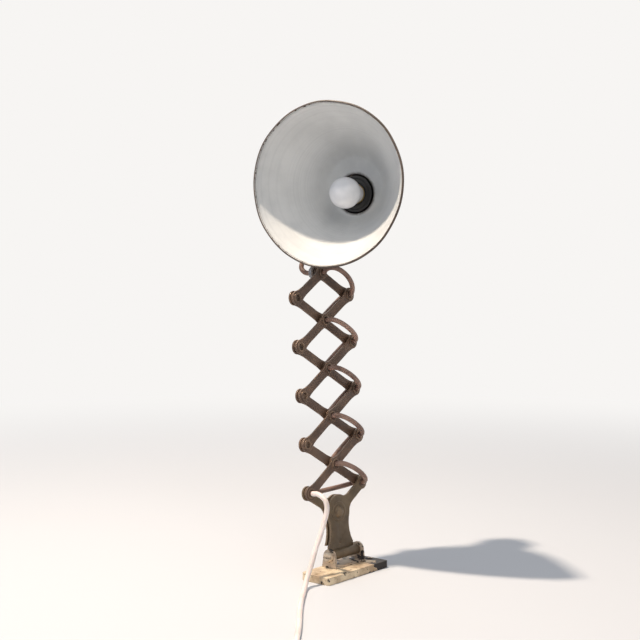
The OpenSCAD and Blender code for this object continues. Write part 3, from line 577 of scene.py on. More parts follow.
class Coat(Enum):
    """The finishes of the lamp's pieces."""

    LINK = WornLacquer("link_lacquer")
    CHEEK = WornLacquer("cheek_lacquer", paint=rgb(84, 68, 47), faded=rgb(110, 91, 66), grime=rgb(44, 34, 24))
    ARM = WornLacquer("arm_lacquer", paint=rgb(56, 44, 38), faded=rgb(76, 62, 52), grime=rgb(30, 24, 21), gloss=0.38)
    SHADE_OUTSIDE = WornLacquer(
        "shade_lacquer", paint=rgb(66, 54, 46), faded=rgb(84, 70, 60), grime=rgb(40, 32, 28), gloss=0.32, wear=0.35
    )
    FOOT = ChippedPaint("foot_paint")
    BRACKET = ChippedPaint(
        "bracket_paint", cream=rgb(206, 188, 166), stain=rgb(140, 114, 94), chip_level=0.56, bare_end=False
    )
    BOLT = ChippedPaint(
        "bolt_paint", cream=rgb(222, 206, 184), stain=rgb(160, 134, 108), chip_level=0.66, bare_end=False
    )
    RIVET = BareMetal("rivet_metal", metal=rgb(126, 104, 86), tarnish=rgb(62, 47, 38), gloss=0.38, shine=0.6)
    STEEL = BareMetal("nut_steel", metal=rgb(150, 152, 158), tarnish=rgb(88, 82, 80), gloss=0.3)
    DOME = BareMetal("dome_metal", metal=rgb(124, 106, 84), tarnish=rgb(76, 60, 42), gloss=0.42, shine=0.45)
    BRASS = BareMetal("cap_brass", metal=rgb(196, 176, 128), tarnish=rgb(120, 96, 60), gloss=0.3)
    ENAMEL = Enamel("shade_enamel")
    BAKELITE = Moulded("holder_bakelite", body=rgb(9, 8, 8), gloss=0.42, dusty=0.05)
    RUBBER = Moulded("gland_rubber", body=rgb(30, 28, 28), gloss=0.55, dusty=0.22)
    PLUG = Moulded("plug_plastic", body=rgb(24, 24, 25), gloss=0.4, dusty=0.12)
    CORD = FlexSkin("cord_skin")
    # The cord in the scissor and on the arm: real grime and painted shade together, in one darker brown skin.
    SOILED_SHADED_CORD = FlexSkin("soiled_shaded_cord_skin", skin=rgb(152, 121, 106), grubby=rgb(88, 64, 53), grime=0.85)
    GLASS = OpalGlass("bulb_opal")

    @property
    def material(self) -> bpy.types.Material:
        """The finish's material."""
        return self.value.material()


# ---- mesh tools ----


class Maker:
    """Turns shapes into finished objects of the scene."""

    @staticmethod
    def tidy(mesh: bpy.types.Mesh, merge: float = 1e-7, sharp: float = 32.0, flat_merge: bool = False) -> None:
        """Merges doubles, turns faces outwards and smooths all but sharp edges.

        Args:
            mesh: the mesh, in metres.
            merge: vertices this close become one.
            sharp: edges with more degrees than this stay sharp.
            flat_merge: joins the triangles of flat faces.
        """
        work = bmesh.new()
        work.from_mesh(mesh)
        bmesh.ops.remove_doubles(work, verts=work.verts, dist=merge)
        if flat_merge:
            bmesh.ops.dissolve_limit(work, angle_limit=math.radians(0.4), verts=work.verts, edges=work.edges)
        bmesh.ops.recalc_face_normals(work, faces=work.faces)
        work.to_mesh(mesh)
        work.free()
        mesh.shade_smooth()
        mesh.set_sharp_from_angle(angle=math.radians(sharp))

    @staticmethod
    def show(name: str, mesh: bpy.types.Mesh, coat: Coat | None = None) -> bpy.types.Object:
        """Puts a finished mesh into the scene.

        Args:
            name: the object's name.
            mesh: the mesh, in metres and in place.
            coat: its finish, or None where its faces already have theirs.

        Returns:
            The object, at the origin and unturned.
        """
        if coat:
            mesh.materials.clear()
            mesh.materials.append(coat.material)
        mesh.name = name
        return linked(name, mesh)

    @staticmethod
    def frozen(source: bpy.types.Object) -> bpy.types.Mesh:
        """The evaluated mesh of an object with its modifiers, after which the object is removed."""
        bpy.context.view_layer.update()
        graph = bpy.context.evaluated_depsgraph_get()
        mesh = bpy.data.meshes.new_from_object(source.evaluated_get(graph), depsgraph=graph)
        bpy.data.objects.remove(source)
        return mesh

    @classmethod
    def rounded_copy(
        cls, node: str, coat: Coat, edge: float, body: str, sharp: float = 30.0, segments: int = 2
    ) -> None:
        """A piece with the shape of a CAD node and softly rounded edges; it stands for that node.

        Args:
            node: the node's name.
            coat: the finish.
            edge: width of the rounded edges, in millimetres.
            body: the body it rides on.
            sharp: edges that turn by more degrees than this are rounded.
            segments: steps in each rounded edge.
        """
        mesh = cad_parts[node].data.copy()
        mesh.materials.clear()
        cls.tidy(mesh, merge=2e-6, flat_merge=True)
        rough = linked(node + "_rough", mesh)
        bevel = rough.modifiers.new("edges", "BEVEL")
        bevel.limit_method, bevel.angle_limit = "ANGLE", math.radians(sharp)
        bevel.width, bevel.segments, bevel.use_clamp_overlap = edge * MM, segments, True
        smooth = cls.frozen(rough)
        smooth.shade_smooth()
        smooth.set_sharp_from_angle(angle=math.radians(50))
        piece = cls.show(node + "_shown", smooth, coat)
        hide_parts(node)
        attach(piece, body)
        log.info("%s: rounded copy, %d faces", piece.name, len(smooth.polygons))

    @staticmethod
    def lathe(profile: Profile, segments: int = 96, closed: bool = False) -> bpy.types.Mesh:
        """Turns a profile about the z axis.

        Args:
            profile: (radius, z) points; a radius of 0 closes a pole.
            segments: steps round the axis.
            closed: joins the last point to the first, for a ring.

        Returns:
            The mesh, in the profile's own unit.
        """
        verts: list[Point] = []
        rings: list[list[int]] = []
        for radius, z in profile:
            if radius < 1e-9:
                rings.append([len(verts)] * segments)
                verts.append((0.0, 0.0, z))
            else:
                rings.append(list(range(len(verts), len(verts) + segments)))
                verts += [
                    (radius * math.cos(2 * math.pi * i / segments), radius * math.sin(2 * math.pi * i / segments), z)
                    for i in range(segments)
                ]
        pairs = list(zip(rings, rings[1:])) + ([(rings[-1], rings[0])] if closed else [])
        faces = []
        for low, high in pairs:
            for i in range(segments):
                j = (i + 1) % segments
                corners = list(dict.fromkeys((low[i], low[j], high[j], high[i])))
                if len(corners) > 2:
                    faces.append(corners)
        mesh = bpy.data.meshes.new("turned")
        mesh.from_pydata(verts, [], faces)
        return mesh

    @staticmethod
    def placed(mesh: bpy.types.Mesh, place: Matrix) -> bpy.types.Mesh:
        """The mesh, moved by place and turned from millimetres into metres."""
        mesh.transform(Matrix.Scale(MM, 4) @ place)
        return mesh

    @staticmethod
    def joined(meshes: Iterable[bpy.types.Mesh]) -> bpy.types.Mesh:
        """One mesh of all the given ones, with their materials."""
        work = bmesh.new()
        materials: list[bpy.types.Material] = []
        for mesh in meshes:
            first = len(work.faces)
            work.from_mesh(mesh)
            work.faces.ensure_lookup_table()
            numbers = []
            for material in mesh.materials:
                if material not in materials:
                    materials.append(material)
                numbers.append(materials.index(material))
            for face in work.faces[first:]:
                face.material_index = numbers[face.material_index] if numbers else 0
        whole = bpy.data.meshes.new("joined")
        work.to_mesh(whole)
        work.free()
        for material in materials:
            whole.materials.append(material)
        return whole


# ---- geometry node trees ----


class Grower:
    """Geometry node trees for what repeats or follows a path."""

    @staticmethod
    def start(
        name: str, inputs: dict[str, tuple[str, object]]
    ) -> tuple[Graph, bpy.types.NodeOutputs, bpy.types.NodeTree]:
        """A new tree with a Geometry input, the named inputs and a Geometry output.

        Args:
            name: the tree's name.
            inputs: socket type and first value of each input.

        Returns:
            The graph, the input sockets, and the tree.
        """
        tree = bpy.data.node_groups.new(name, "GeometryNodeTree")
        tree.interface.new_socket("Geometry", in_out="INPUT", socket_type="NodeSocketGeometry")
        for label, (kind, value) in inputs.items():
            socket = tree.interface.new_socket(label, in_out="INPUT", socket_type=kind)
            if value is not None:
                socket.default_value = value
        tree.interface.new_socket("Geometry", in_out="OUTPUT", socket_type="NodeSocketGeometry")
        graph = Graph(tree)
        return graph, graph.node("NodeGroupInput").outputs, tree

    @staticmethod
    def end(g: Graph, geometry: bpy.types.NodeSocket, material: bpy.types.NodeSocket) -> None:
        """Ends a tree with Realize Instances and Set Material."""
        real = g.node("GeometryNodeRealizeInstances", {0: geometry}).outputs[0]
        painted = g.node("GeometryNodeSetMaterial", {"Geometry": real, "Material": material}).outputs[0]
        g.node("NodeGroupOutput", {0: painted})

    @classmethod
    def tube_tree(cls) -> bpy.types.NodeTree:
        """Sweeps a round profile along the given curve and closes its ends."""
        tree = bpy.data.node_groups.get("swept_tube")
        if tree:
            return tree
        inputs = {
            "Radius": (FLOAT, 1.0),
            "Sides": ("NodeSocketInt", 20),
            "Finish": ("NodeSocketMaterial", None),
        }
        g, given, tree = cls.start("swept_tube", inputs)
        ring = g.node("GeometryNodeCurvePrimitiveCircle", {"Resolution": given["Sides"], "Radius": given["Radius"]})
        swept = g.node("GeometryNodeCurveToMesh", {0: given["Geometry"], 1: ring.outputs[0]})
        swept.inputs["Fill Caps"].default_value = True
        cls.end(g, swept.outputs[0], given["Finish"])
        return tree

    @classmethod
    def rivet_tree(cls) -> bpy.types.NodeTree:
        """Stands a hollow rivet with two rolled lips at each given point, its axis along z."""
        tree = bpy.data.node_groups.get("hollow_rivets")
        if tree:
            return tree
        inputs = {
            "Shaft Radius": (FLOAT, 4.7),
            "Bore Radius": (FLOAT, 3.9),
            "Lip Radius": (FLOAT, 7.0),
            "Lip Height": (FLOAT, 1.1),
            "Front": (FLOAT, 4.0),
            "Back": (FLOAT, -4.2),
            "Finish": ("NodeSocketMaterial", None),
        }
        g, given, tree = cls.start("hollow_rivets", inputs)

        def swept(
            radius: object, width: object, height: object, lift: object, round_profile: bool
        ) -> bpy.types.NodeSocket:
            """A ring of the given middle radius, its profile round or square."""
            path = g.node("GeometryNodeCurvePrimitiveCircle", {"Resolution": 48, "Radius": radius}).outputs[0]
            if round_profile:
                profile = g.node("GeometryNodeCurvePrimitiveCircle", {"Resolution": 16, "Radius": 1.0}).outputs[0]
            else:
                profile = g.node("GeometryNodeCurvePrimitiveQuadrilateral", {"Width": 2.0, "Height": 2.0}).outputs[0]
            size = g.node("ShaderNodeCombineXYZ", {0: width, 1: height, 2: 1.0}).outputs[0]
            profile = g.node("GeometryNodeTransform", {"Geometry": profile, "Scale": size}).outputs[0]
            ring = g.node("GeometryNodeCurveToMesh", {0: path, 1: profile}).outputs[0]
            place = g.node("ShaderNodeCombineXYZ", {2: lift}).outputs[0]
            return g.node("GeometryNodeTransform", {"Geometry": ring, "Translation": place}).outputs[0]

        half = lambda a, b, sign: g.times(g.math("ADD" if sign > 0 else "SUBTRACT", a, b), 0.5)
        bore, lip, shaft = given["Bore Radius"], given["Lip Radius"], given["Shaft Radius"]
        front, back, height = given["Front"], given["Back"], given["Lip Height"]
        middle, breadth = half(lip, bore, 1), half(lip, bore, -1)
        upper = swept(middle, breadth, height, front, True)
        lower = swept(middle, breadth, height, back, True)
        tube = swept(half(shaft, bore, 1), half(shaft, bore, -1), half(front, back, -1), half(front, back, 1), False)
        rivet = g.node("GeometryNodeJoinGeometry")
        for part in (upper, lower, tube):
            g.feed(rivet.inputs[0], part)
        stood = g.node("GeometryNodeInstanceOnPoints", {"Points": given["Geometry"], "Instance": rivet.outputs[0]})
        cls.end(g, stood.outputs[0], given["Finish"])
        return tree

    @staticmethod
    def grown(source: bpy.types.Object, tree: bpy.types.NodeTree, values: dict[str, object]) -> bpy.types.Mesh:
        """Runs a tree on an object and returns the plain mesh.

        Args:
            source: the object that the tree starts from; it is removed.
            tree: the geometry node tree.
            values: its inputs by name.

        Returns:
            The resulting mesh.
        """
        modifier = source.modifiers.new("grown", "NODES")
        modifier.node_group = tree
        for socket in tree.interface.items_tree:
            if socket.item_type == "SOCKET" and socket.in_out == "INPUT" and socket.name in values:
                modifier[socket.identifier] = values[socket.name]
        return Maker.frozen(source)

    @classmethod
    def at_points(
        cls, points: Iterable[Vector], tree: bpy.types.NodeTree, values: dict[str, object]
    ) -> bpy.types.Mesh:
        """Runs a tree on loose points."""
        mesh = bpy.data.meshes.new("points")
        mesh.from_pydata([tuple(p) for p in points], [], [])
        return cls.grown(linked("points", mesh), tree, values)

    @classmethod
    def tube(cls, path: Sequence[Vector], radius: float, coat: Coat, sides: int = 20) -> bpy.types.Mesh:
        """A closed round tube along a path.

        Args:
            path: the points of its middle line.
            radius: its radius, in the path's unit.
            coat: its finish.
            sides: faces round it.

        Returns:
            The mesh, in the path's unit.
        """
        curve = bpy.data.curves.new("path", "CURVE")
        curve.dimensions = "3D"
        spline = curve.splines.new("POLY")
        spline.points.add(len(path) - 1)
        for point, at in zip(spline.points, path):
            point.co = (*at, 1.0)
        values = {"Radius": radius, "Sides": sides, "Finish": coat.material}
        return cls.grown(linked("path", curve), cls.tube_tree(), values)


# ---- paths ----


def through(points: Sequence[Vector], steps: int) -> list[Vector]:
    """Points of a smooth curve through all the given points, with that many steps between two."""
    smooth: list[Vector] = []
    last = len(points) - 1
    for i in range(last):
        a, b, c, d = points[max(i - 1, 0)], points[i], points[i + 1], points[min(i + 2, last)]
        for s in range(steps):
            t = s / steps
            square, cube = 2 * a - 5 * b + 4 * c - d, 3 * b - a - 3 * c + d
            smooth.append(0.5 * (2 * b + t * (c - a) + t * t * square + t**3 * cube))
    return smooth + [points[last]]


def bezier(a: Vector, b: Vector, c: Vector, d: Vector, t: float) -> Vector:
    """Point at t on a cubic curve."""
    return (1 - t) ** 3 * a + 3 * t * (1 - t) ** 2 * b + 3 * t * t * (1 - t) * c + t**3 * d


def path_length(points: Sequence[Vector]) -> float:
    """Length of a path."""
    return sum((b - a).length for a, b in zip(points, points[1:]))


# ---- camera and stage ----


@dataclass(frozen=True)
class Studio:
    """The camera at the photograph's angle, a pale floor and backdrop, and soft lamps."""

    camera_at: Point = (-1.3697, -1.0875, 0.4522)
    azimuth: float = -50.5
    down: float = 3.97
    lens: float = 76.7
    floor_colour: Colour = rgb(206, 208, 212)
    far_colour: Colour = rgb(247, 245, 243)
    floor_size: float = 14.0

    def camera(self) -> None:
        """Creates the camera and makes it the scene's own."""
        data = bpy.data.cameras.new("camera")
        data.lens, data.sensor_width, data.sensor_fit = self.lens, 36.0, "HORIZONTAL"
        data.clip_start, data.clip_end = 0.05, 30.0
        camera = linked("camera", data)
        camera.location = self.camera_at
        camera.rotation_euler = (math.radians(90 - self.down), 0.0, math.radians(self.azimuth))
        bpy.context.scene.camera = camera

    def paper(self) -> bpy.types.Material:
        """Matt pale paper that fades into the white surroundings a few steps away from the lamp."""
        made = bpy.data.materials.new("floor_paper")
        g = Graph.blank(made)
        skin = g.node("ShaderNodeBsdfPrincipled", {"Base Color": self.floor_colour, "Roughness": 0.9})
        skin.inputs["Specular IOR Level"].default_value = 0.1
        distance = g.vector("LENGTH", g.node("ShaderNodeTexCoord").outputs["Object"])
        far = g.times(g.steps(distance, 0.5, 1.9), self.seen(g))
        light = g.node("ShaderNodeEmission", {"Color": self.far_colour, "Strength": 1.0})
        mixed = g.node("ShaderNodeMixShader", {0: far, 1: skin.outputs[0], 2: light.outputs[0]})
        g.node("ShaderNodeOutputMaterial", {"Surface": mixed.outputs[0]})
        return made

    @staticmethod
    def seen(g: Graph) -> bpy.types.NodeSocket:
        """1 for what the camera, mirrors and glass look at, 0 for the light that falls on things."""
        rays = g.node("ShaderNodeLightPath").outputs
        through_things = g.math("MAXIMUM", rays["Is Glossy Ray"], rays["Is Transmission Ray"])
        return g.math("MAXIMUM", rays["Is Camera Ray"], through_things)

    def floor(self) -> None:
        """A wide pale floor with its top at z = 0."""
        mesh = bpy.data.meshes.new("floor")
        size = self.floor_size
        corners = [(-size, -size, 0), (size, -size, 0), (size, size, 0), (-size, size, 0)]
        mesh.from_pydata(corners, [], [(0, 1, 2, 3)])
        floor = Maker.show("floor", mesh)
        mesh.materials.append(self.paper())

    def lamps(self) -> None:
        """A high key that lights the shade's lower lip, a wide soft front light, a fill, and an even pale world."""
        self.lamp("key", (-0.62, 0.40, 2.28), (-0.03, 0.0, 0.48), 0.09, 62.0, rgb(255, 238, 218))
        self.lamp("front", (-1.5, -2.0, 2.2), (0.0, 0.0, 0.35), 1.4, 17.0, rgb(255, 249, 243))
        self.lamp("fill", (-2.4, 0.8, 1.2), (0.0, 0.0, 0.3), 1.8, 7.0, rgb(228, 238, 255))
        self.lamp("back", (1.6, 1.8, 1.8), (0.0, 0.0, 0.35), 1.6, 14.0, rgb(255, 248, 240))
        world = bpy.data.worlds.new("studio")
        g = Graph.blank(world)
        even = g.node("ShaderNodeBackground", {"Color": rgb(232, 238, 247), "Strength": 0.46})
        white = g.node("ShaderNodeBackground", {"Color": self.far_colour, "Strength": 1.0})
        mixed = g.node("ShaderNodeMixShader", {0: self.seen(g), 1: even.outputs[0], 2: white.outputs[0]})
        g.node("ShaderNodeOutputWorld", {"Surface": mixed.outputs[0]})
        bpy.context.scene.world = world

    def lamp(self, name: str, place: Point, aim: Point, size: float, watts: float, colour: Colour) -> None:
        """One square soft lamp, aimed at a point."""
        data = bpy.data.lights.new(name, "AREA")
        data.shape, data.size, data.energy, data.color = "SQUARE", size, watts, colour[:3]
        lamp = linked(name, data)
        lamp.location = place
        lamp.rotation_euler = (Vector(aim) - Vector(place)).to_track_quat("-Z", "Y").to_euler()

    def build(self) -> None:
        """Sets up the whole stage."""
        self.camera()
        self.floor()
        self.lamps()
        bpy.context.scene.view_settings.view_transform = "Standard"


# ---- cords ----


@dataclass(frozen=True)
class ThreadedCord:
    """The mains cord: free over the table, threaded through the hollow pivots, and up under the arm."""

    radius: float = 3.3
    lead: float = 6.0
    loop_steps: int = 28
    front_reach: float = 16.0
    rear_reach: float = -9.0
    cross_reach: float = -12.0
    front_bulge: float = 6.0
    top_bulge: float = 18.0
    rear_bulge: float = -5.0
    cross_sag: float = 5.0
    exit_rise: float = 2.1
    table: float = 3.35
    coil_turns: float = 6.36
    coil_pitch: float = 7.2
    coil_outer: float = 44.0
    coil_steps: int = 48
    coil_gap: float = 8.0
    coil_lead: float = 4.8
    plug_height: float = 7.5
    plug_lead: float = 44.0
    plug_sleeve: float = 9.0
    plug_lift: float = 1.6
    gland_depth: float = 18.0
    gland_lead: float = 7.0
    route_steps: int = 6
    free_knots: tuple[int, int] = (6, 12)
    arm_knots: tuple[int, int] = (12, 17)
    route: tuple[Point, ...] = (
        (-44, 2, 107.5), (-44, -4.5, 101.5), (-44, -6, 91), (-48, -5, 77), (-56, -5, 61), (-65, -5, 46), (-73, -6, 31),
        (-82, -7, 17), (-94, -12, 6), (-114, -26, 3.35), (-140, -45, 3.35), (-170, -68, 3.35), (-205, -97, 3.35),
        (-240, -125, 3.35), (-275, -152, 3.35), (-314, -185, 3.35), (-326, -195.5, 3.35), (-332, -200.4, 3.35),
    )
    arm_route: tuple[Point, ...] = (
        (0, 0, 0), (0, 0, -9), (0, 0, -18), (-1, 2, -26), (0, 8, -32), (4, 16, -32), (10, 22, -25), (17, 26, -14),
        (26, 27, -5), (36, 28, 1), (48, 29, 7), (58, 31, 12), (64, 32, 15), (71, 32.5, 18), (80, 33, 21),
        (89, 34.5, 23), (97, 38, 24), (102, 44, 24), (105, 52, 24),
    )

    def piece(self, name: str, path: Sequence[Vector], place: Matrix, coat: Coat, *nodes: str) -> bpy.types.Object:
        """A stretch of cord as a mesh tube.

        Args:
            name: the piece's name.
            path: its middle line, in millimetres.
            place: where the path's frame is.
            coat: its finish.
            nodes: the CAD nodes it stands for.

        Returns:
            The piece.
        """
        mesh = Maker.placed(Grower.tube(path, self.radius, coat, 24), place)
        Maker.tidy(mesh, sharp=60)
        shown = Maker.show(name, mesh)
        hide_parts(*nodes)
        log.info("%s: cord of %.0f mm, %d faces", name, path_length(path), len(mesh.polygons))
        return shown

    def loop(self, a: Vector, b: Vector, depth: float, bulge: float) -> list[Vector]:
        """From the middle of pivot a to the middle of pivot b, bowed out by depth and up by bulge."""
        side = math.copysign(self.lead, depth)
        out, far = Vector((0, 0, side)), Vector((0, bulge, side + depth))
        bow = [bezier(a + out, a + far, b + far, b + out, i / self.loop_steps) for i in range(self.loop_steps + 1)]
        return [a, a + 0.5 * out, *bow, b + 0.5 * out, b]

    def in_scissor(self) -> None:
        """The loops from crossing to outer pivot in front, and back behind to the crossing below."""
        place = LAMP.scissor()
        for k in range(1, LAMP.cells + 1):
            bulge, body = self.front_bulge, f"back_link_{k}"
            if k == LAMP.cells:
                bulge, body = self.top_bulge, "back_half_link"
            path = self.loop(LAMP.crossing(k), LAMP.side(k, 1), self.front_reach, bulge)
            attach(self.piece(f"front_cord_{k}_shown", path, place, Coat.SOILED_SHADED_CORD, f"front_cord_{k}"), body)
        for k in range(2, LAMP.cells + 1):
            path = self.loop(LAMP.side(k, 1), LAMP.crossing(k - 1), self.rear_reach, self.rear_bulge)
            shown = self.piece(f"rear_cord_{k}_shown", path, place, Coat.SOILED_SHADED_CORD, f"rear_cord_{k}")
            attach(shown, f"front_link_{k - 1}")

    def across(self) -> None:
        """The stretch behind the first cell, from the right outer pivot to the left one, sagging a little."""
        a, b = LAMP.side(1, 1), LAMP.side(1, -1)
        out, sag = Vector((0, 0, -self.lead)), Vector((0, -self.cross_sag, self.cross_reach))
        bow = [bezier(a + out, a + out + sag, b + out + sag, b + out, i / 32) for i in range(33)]
        path = [a, a + 0.5 * out, *bow, b + 0.5 * out, b, b + Vector((0, 0, LAMP.skin + self.exit_rise))]
        shown = self.piece("cross_cord_shown", path, LAMP.scissor(), Coat.SOILED_SHADED_CORD, "cross_cord")
        self.bend(shown, "front_cheek", "rear_cheek", LAMP.scissor() @ (a + out), LAMP.scissor() @ (b + out))

    @staticmethod
    def bend(shown: bpy.types.Object, first: str, second: str, start: Vector, end: Vector) -> None:
        """Bakes the piece's placement into its mesh."""
        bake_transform(shown)

    def free_route(self) -> list[Vector]:
        """The settled points of the free cord, from the hollow pivot to the start of the coil."""
        exit_point = LAMP.scissor() @ (LAMP.side(1, -1) + Vector((0, 0, LAMP.skin + self.exit_rise)))
        way = Vector((0, -math.cos(math.radians(LAMP.lean)), math.sin(math.radians(LAMP.lean))))
        return [exit_point, exit_point + 4 * way, exit_point + 8 * way, *(Vector(p) for p in self.route)]

    def coil(self, start: Vector, way: Vector) -> list[Vector]:
        """The coil's middle line: in on the table, up one cord, out on top, and to the plug.

        Args:
            start: where the run ends.
            way: the run's direction there.

        Returns:
            The points; the last one is the plug's mouth.
        """
        angle = math.atan2(-way.x, way.y)
        centre = start + self.coil_gap * way - self.coil_outer * Vector((math.cos(angle), math.sin(angle), 0))

        def at(turn: float) -> Vector:
            """Point of the spiral after that many turns."""
            half = self.coil_turns / 2
            r = self.coil_outer - self.coil_pitch * (half - abs(turn - half))
            climb = self.coil_pitch * min(max((turn - half) * 2 + 0.5, 0), 1)
            a = angle + 2 * math.pi * turn
            return Vector((centre.x + r * math.cos(a), centre.y + r * math.sin(a), self.table + climb))

        loops = [at(i / self.coil_steps) for i in range(int(self.coil_turns * self.coil_steps) + 1)]
        last = at(self.coil_turns)
        end = angle + 2 * math.pi * self.coil_turns
        out = Vector((-math.sin(end), math.cos(end), 0))
        lift = Vector((0, 0, (self.plug_height - last.z) * self.plug_lift))
        mouth = Vector((last.x, last.y, self.plug_height)) + self.plug_lead * out
        lead_out = [last + s * self.plug_lead * out + s * lift for s in (0.25, 0.5)]
        return [start + self.coil_lead * way, *loops, *lead_out, mouth - self.plug_sleeve * out, mouth]

    def free(self) -> None:
        """The free cord in three stretches: off the scissor, down the hinge, and over the table to the plug."""
        route = self.free_route()
        path = through(route, self.route_steps)
        bend_end, drop_end = (knot * self.route_steps for knot in self.free_knots)
        home = Matrix.Identity(4)
        bend = path[: bend_end + 1]
        drop = path[bend_end : drop_end + 1]
        rest = path[drop_end:] + self.coil(route[-1], (route[-1] - route[-2]).normalized())
        near = self.piece("cord_bend_shown", bend, home, Coat.CORD, "cord_bend")
        self.bend(near, "rear_cheek", "front_cheek", bend[0], bend[-1])
        fall = self.piece("cord_drop_shown", drop, home, Coat.CORD, "cord_drop")
        self.bend(fall, "front_cheek", "base", drop[0], drop[-1])
        lying = self.piece("cord_run_shown", rest, home, Coat.CORD, "cord_run", "cord_coil")
        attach(lying, "base")

    def on_arm(self) -> None:
        """Out of the top hollow bolt, round behind and along under the arm, into the gland."""
        top, gland = LAMP.top(), LAMP.gland_axis()
        back = top.inverted()
        mouth = back @ (gland @ Vector((0, 0, self.gland_depth)))
        inside = back @ (gland @ Vector((0, 0, 0)))
        way = (mouth - inside).normalized()
        lead_in = [mouth + self.gland_lead * way, mouth, mouth - self.gland_depth * way]
        path = through([Vector(p) for p in self.arm_route] + lead_in, self.route_steps)
        first, second = (knot * self.route_steps for knot in self.arm_knots)
        held = self.piece("arm_cord_shown", path[: first + 1], top, Coat.SOILED_SHADED_CORD, "arm_cord")
        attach(held, "head_arm")
        neck = self.piece("neck_cord_shown", path[first : second + 1], top, Coat.SOILED_SHADED_CORD, "neck_cord")
        self.bend(neck, "head_arm", "swivel_block", top @ path[first], top @ path[second])
        tail = self.piece("head_cord_shown", path[second:], top, Coat.SOILED_SHADED_CORD, "head_cord")
        self.bend(tail, "swivel_block", "shade_head", top @ path[second], top @ lead_in[0])

    def build(self) -> None:
        """Lays every stretch of the cord."""
        self.free()
        self.across()
        self.in_scissor()
        self.on_arm()


# ---- foot, scissor and head ----


@dataclass(frozen=True)
class Foot:
    """Foot plate, hinge bracket and hinge bolt."""

    plate_edge: float = 1.1
    sheet_edge: float = 0.5

    def build(self) -> None:
        """Dresses the foot."""
        Maker.rounded_copy("foot_plate", Coat.FOOT, self.plate_edge, "base", segments=3)
        Maker.rounded_copy("hinge_bracket", Coat.BRACKET, self.sheet_edge, "base")
        Maker.rounded_copy("hinge_bolt", Coat.BOLT, 0.4, "base")
        Maker.rounded_copy("hinge_nut", Coat.RIVET, 0.3, "base")
        Maker.rounded_copy("bracket_screws", Coat.STEEL, 0.3, "base")
        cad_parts["plug"].data.materials.clear()
        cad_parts["plug"].data.materials.append(Coat.PLUG.material)


@dataclass(frozen=True)
class Scissor:
    """Cheeks, links, their hollow rivets and the main screw."""

    edge: float = 0.45
    shaft_radius: float = 4.7
    bore_radius: float = 3.9
    lip_radius: float = 7.0
    lip_height: float = 1.1
    play: float = 0.2
    washer_radius: float = 8.0

    def rivets(self, name: str, body: str, pivots: Sequence[Vector], front: bool, node: str) -> None:
        """Hollow rivets with their spacers, which one link grips.

        Args:
            name: the piece's name.
            body: the body they ride on.
            pivots: where they stand, in the scissor's frame.
            front: whether the front layer grips them.
            node: the CAD node they stand for.
        """
        skin, face = LAMP.skin, LAMP.face
        values = {
            "Shaft Radius": self.shaft_radius, "Bore Radius": self.bore_radius, "Lip Radius": self.lip_radius,
            "Lip Height": self.lip_height, "Front": skin if front else skin + self.play,
            "Back": -(skin + self.play) if front else -skin, "Finish": Coat.RIVET.material,
        }
        low, high = (-face + self.play, face) if front else (-face, face - self.play)
        parts = [Grower.at_points(pivots, Grower.rivet_tree(), values)]
        inner, outer, soft = self.shaft_radius + 0.05, self.washer_radius, 0.3
        ring = [
            (inner, low), (outer - soft, low), (outer, low + soft),
            (outer, high - soft), (outer - soft, high), (inner, high),
        ]
        for pivot in pivots:
            washer = Maker.lathe(ring, 64, closed=True)
            washer.transform(Matrix.Translation(pivot))
            washer.materials.append(Coat.RIVET.material)
            parts.append(washer)
        mesh = Maker.placed(Maker.joined(parts), LAMP.scissor())
        Maker.tidy(mesh, sharp=40)
        shown = Maker.show(name, mesh)
        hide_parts(node)
        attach(shown, body)
        log.info("%s: %d rivets on %s", name, len(pivots), body)

    def dished_washer(self) -> None:
        """The wide dished washer that the main screw's domed head sits in."""
        skin = LAMP.skin
        ring = [
            (radius, skin + rise)
            for radius, rise in ((5, 0), (12.8, 0), (13.3, 0.3), (12.9, 0.9), (11.6, 1.1), (9.4, 0.5), (5, 0.4))
        ]
        mesh = Maker.placed(Maker.lathe(ring, 72, closed=True), LAMP.scissor() @ Matrix.Translation(LAMP.crossing(0)))
        Maker.tidy(mesh, sharp=50)
        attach(Maker.show("main_screw_washer", mesh, Coat.CHEEK), "front_cheek")

    def build(self) -> None:
        """Dresses the scissor."""
        Maker.rounded_copy("front_cheek", Coat.CHEEK, self.edge, "front_cheek")
        Maker.rounded_copy("rear_cheek", Coat.CHEEK, self.edge, "rear_cheek")
        Maker.rounded_copy("main_screw", Coat.DOME, 0.3, "front_cheek", sharp=50)
        Maker.rounded_copy("main_nut", Coat.STEEL, 0.35, "front_cheek")
        self.dished_washer()
        for k in range(1, LAMP.cells):
            Maker.rounded_copy(f"front_link_{k}", Coat.LINK, self.edge, f"front_link_{k}")
            Maker.rounded_copy(f"back_link_{k}", Coat.LINK, self.edge, f"back_link_{k}")
            pivots = [LAMP.side(k, -1), LAMP.crossing(k)]
            self.rivets(f"front_rivets_{k}_shown", f"front_link_{k}", pivots, True, f"front_rivets_{k}")
            self.rivets(f"back_rivet_{k}_shown", f"back_link_{k}", [LAMP.side(k, 1)], False, f"back_rivet_{k}")
        Maker.rounded_copy("front_half_link", Coat.LINK, self.edge, "front_half_link")
        Maker.rounded_copy("back_half_link", Coat.LINK, self.edge, "back_half_link")
        self.rivets("top_rivet_shown", "front_half_link", [LAMP.side(5, -1)], True, "top_rivet")
        self.rivets("back_rivet_5_shown", "back_half_link", [LAMP.side(5, 1)], False, "back_rivet_5")
        Maker.rounded_copy("head_bolt", Coat.RIVET, 0.2, "front_half_link")


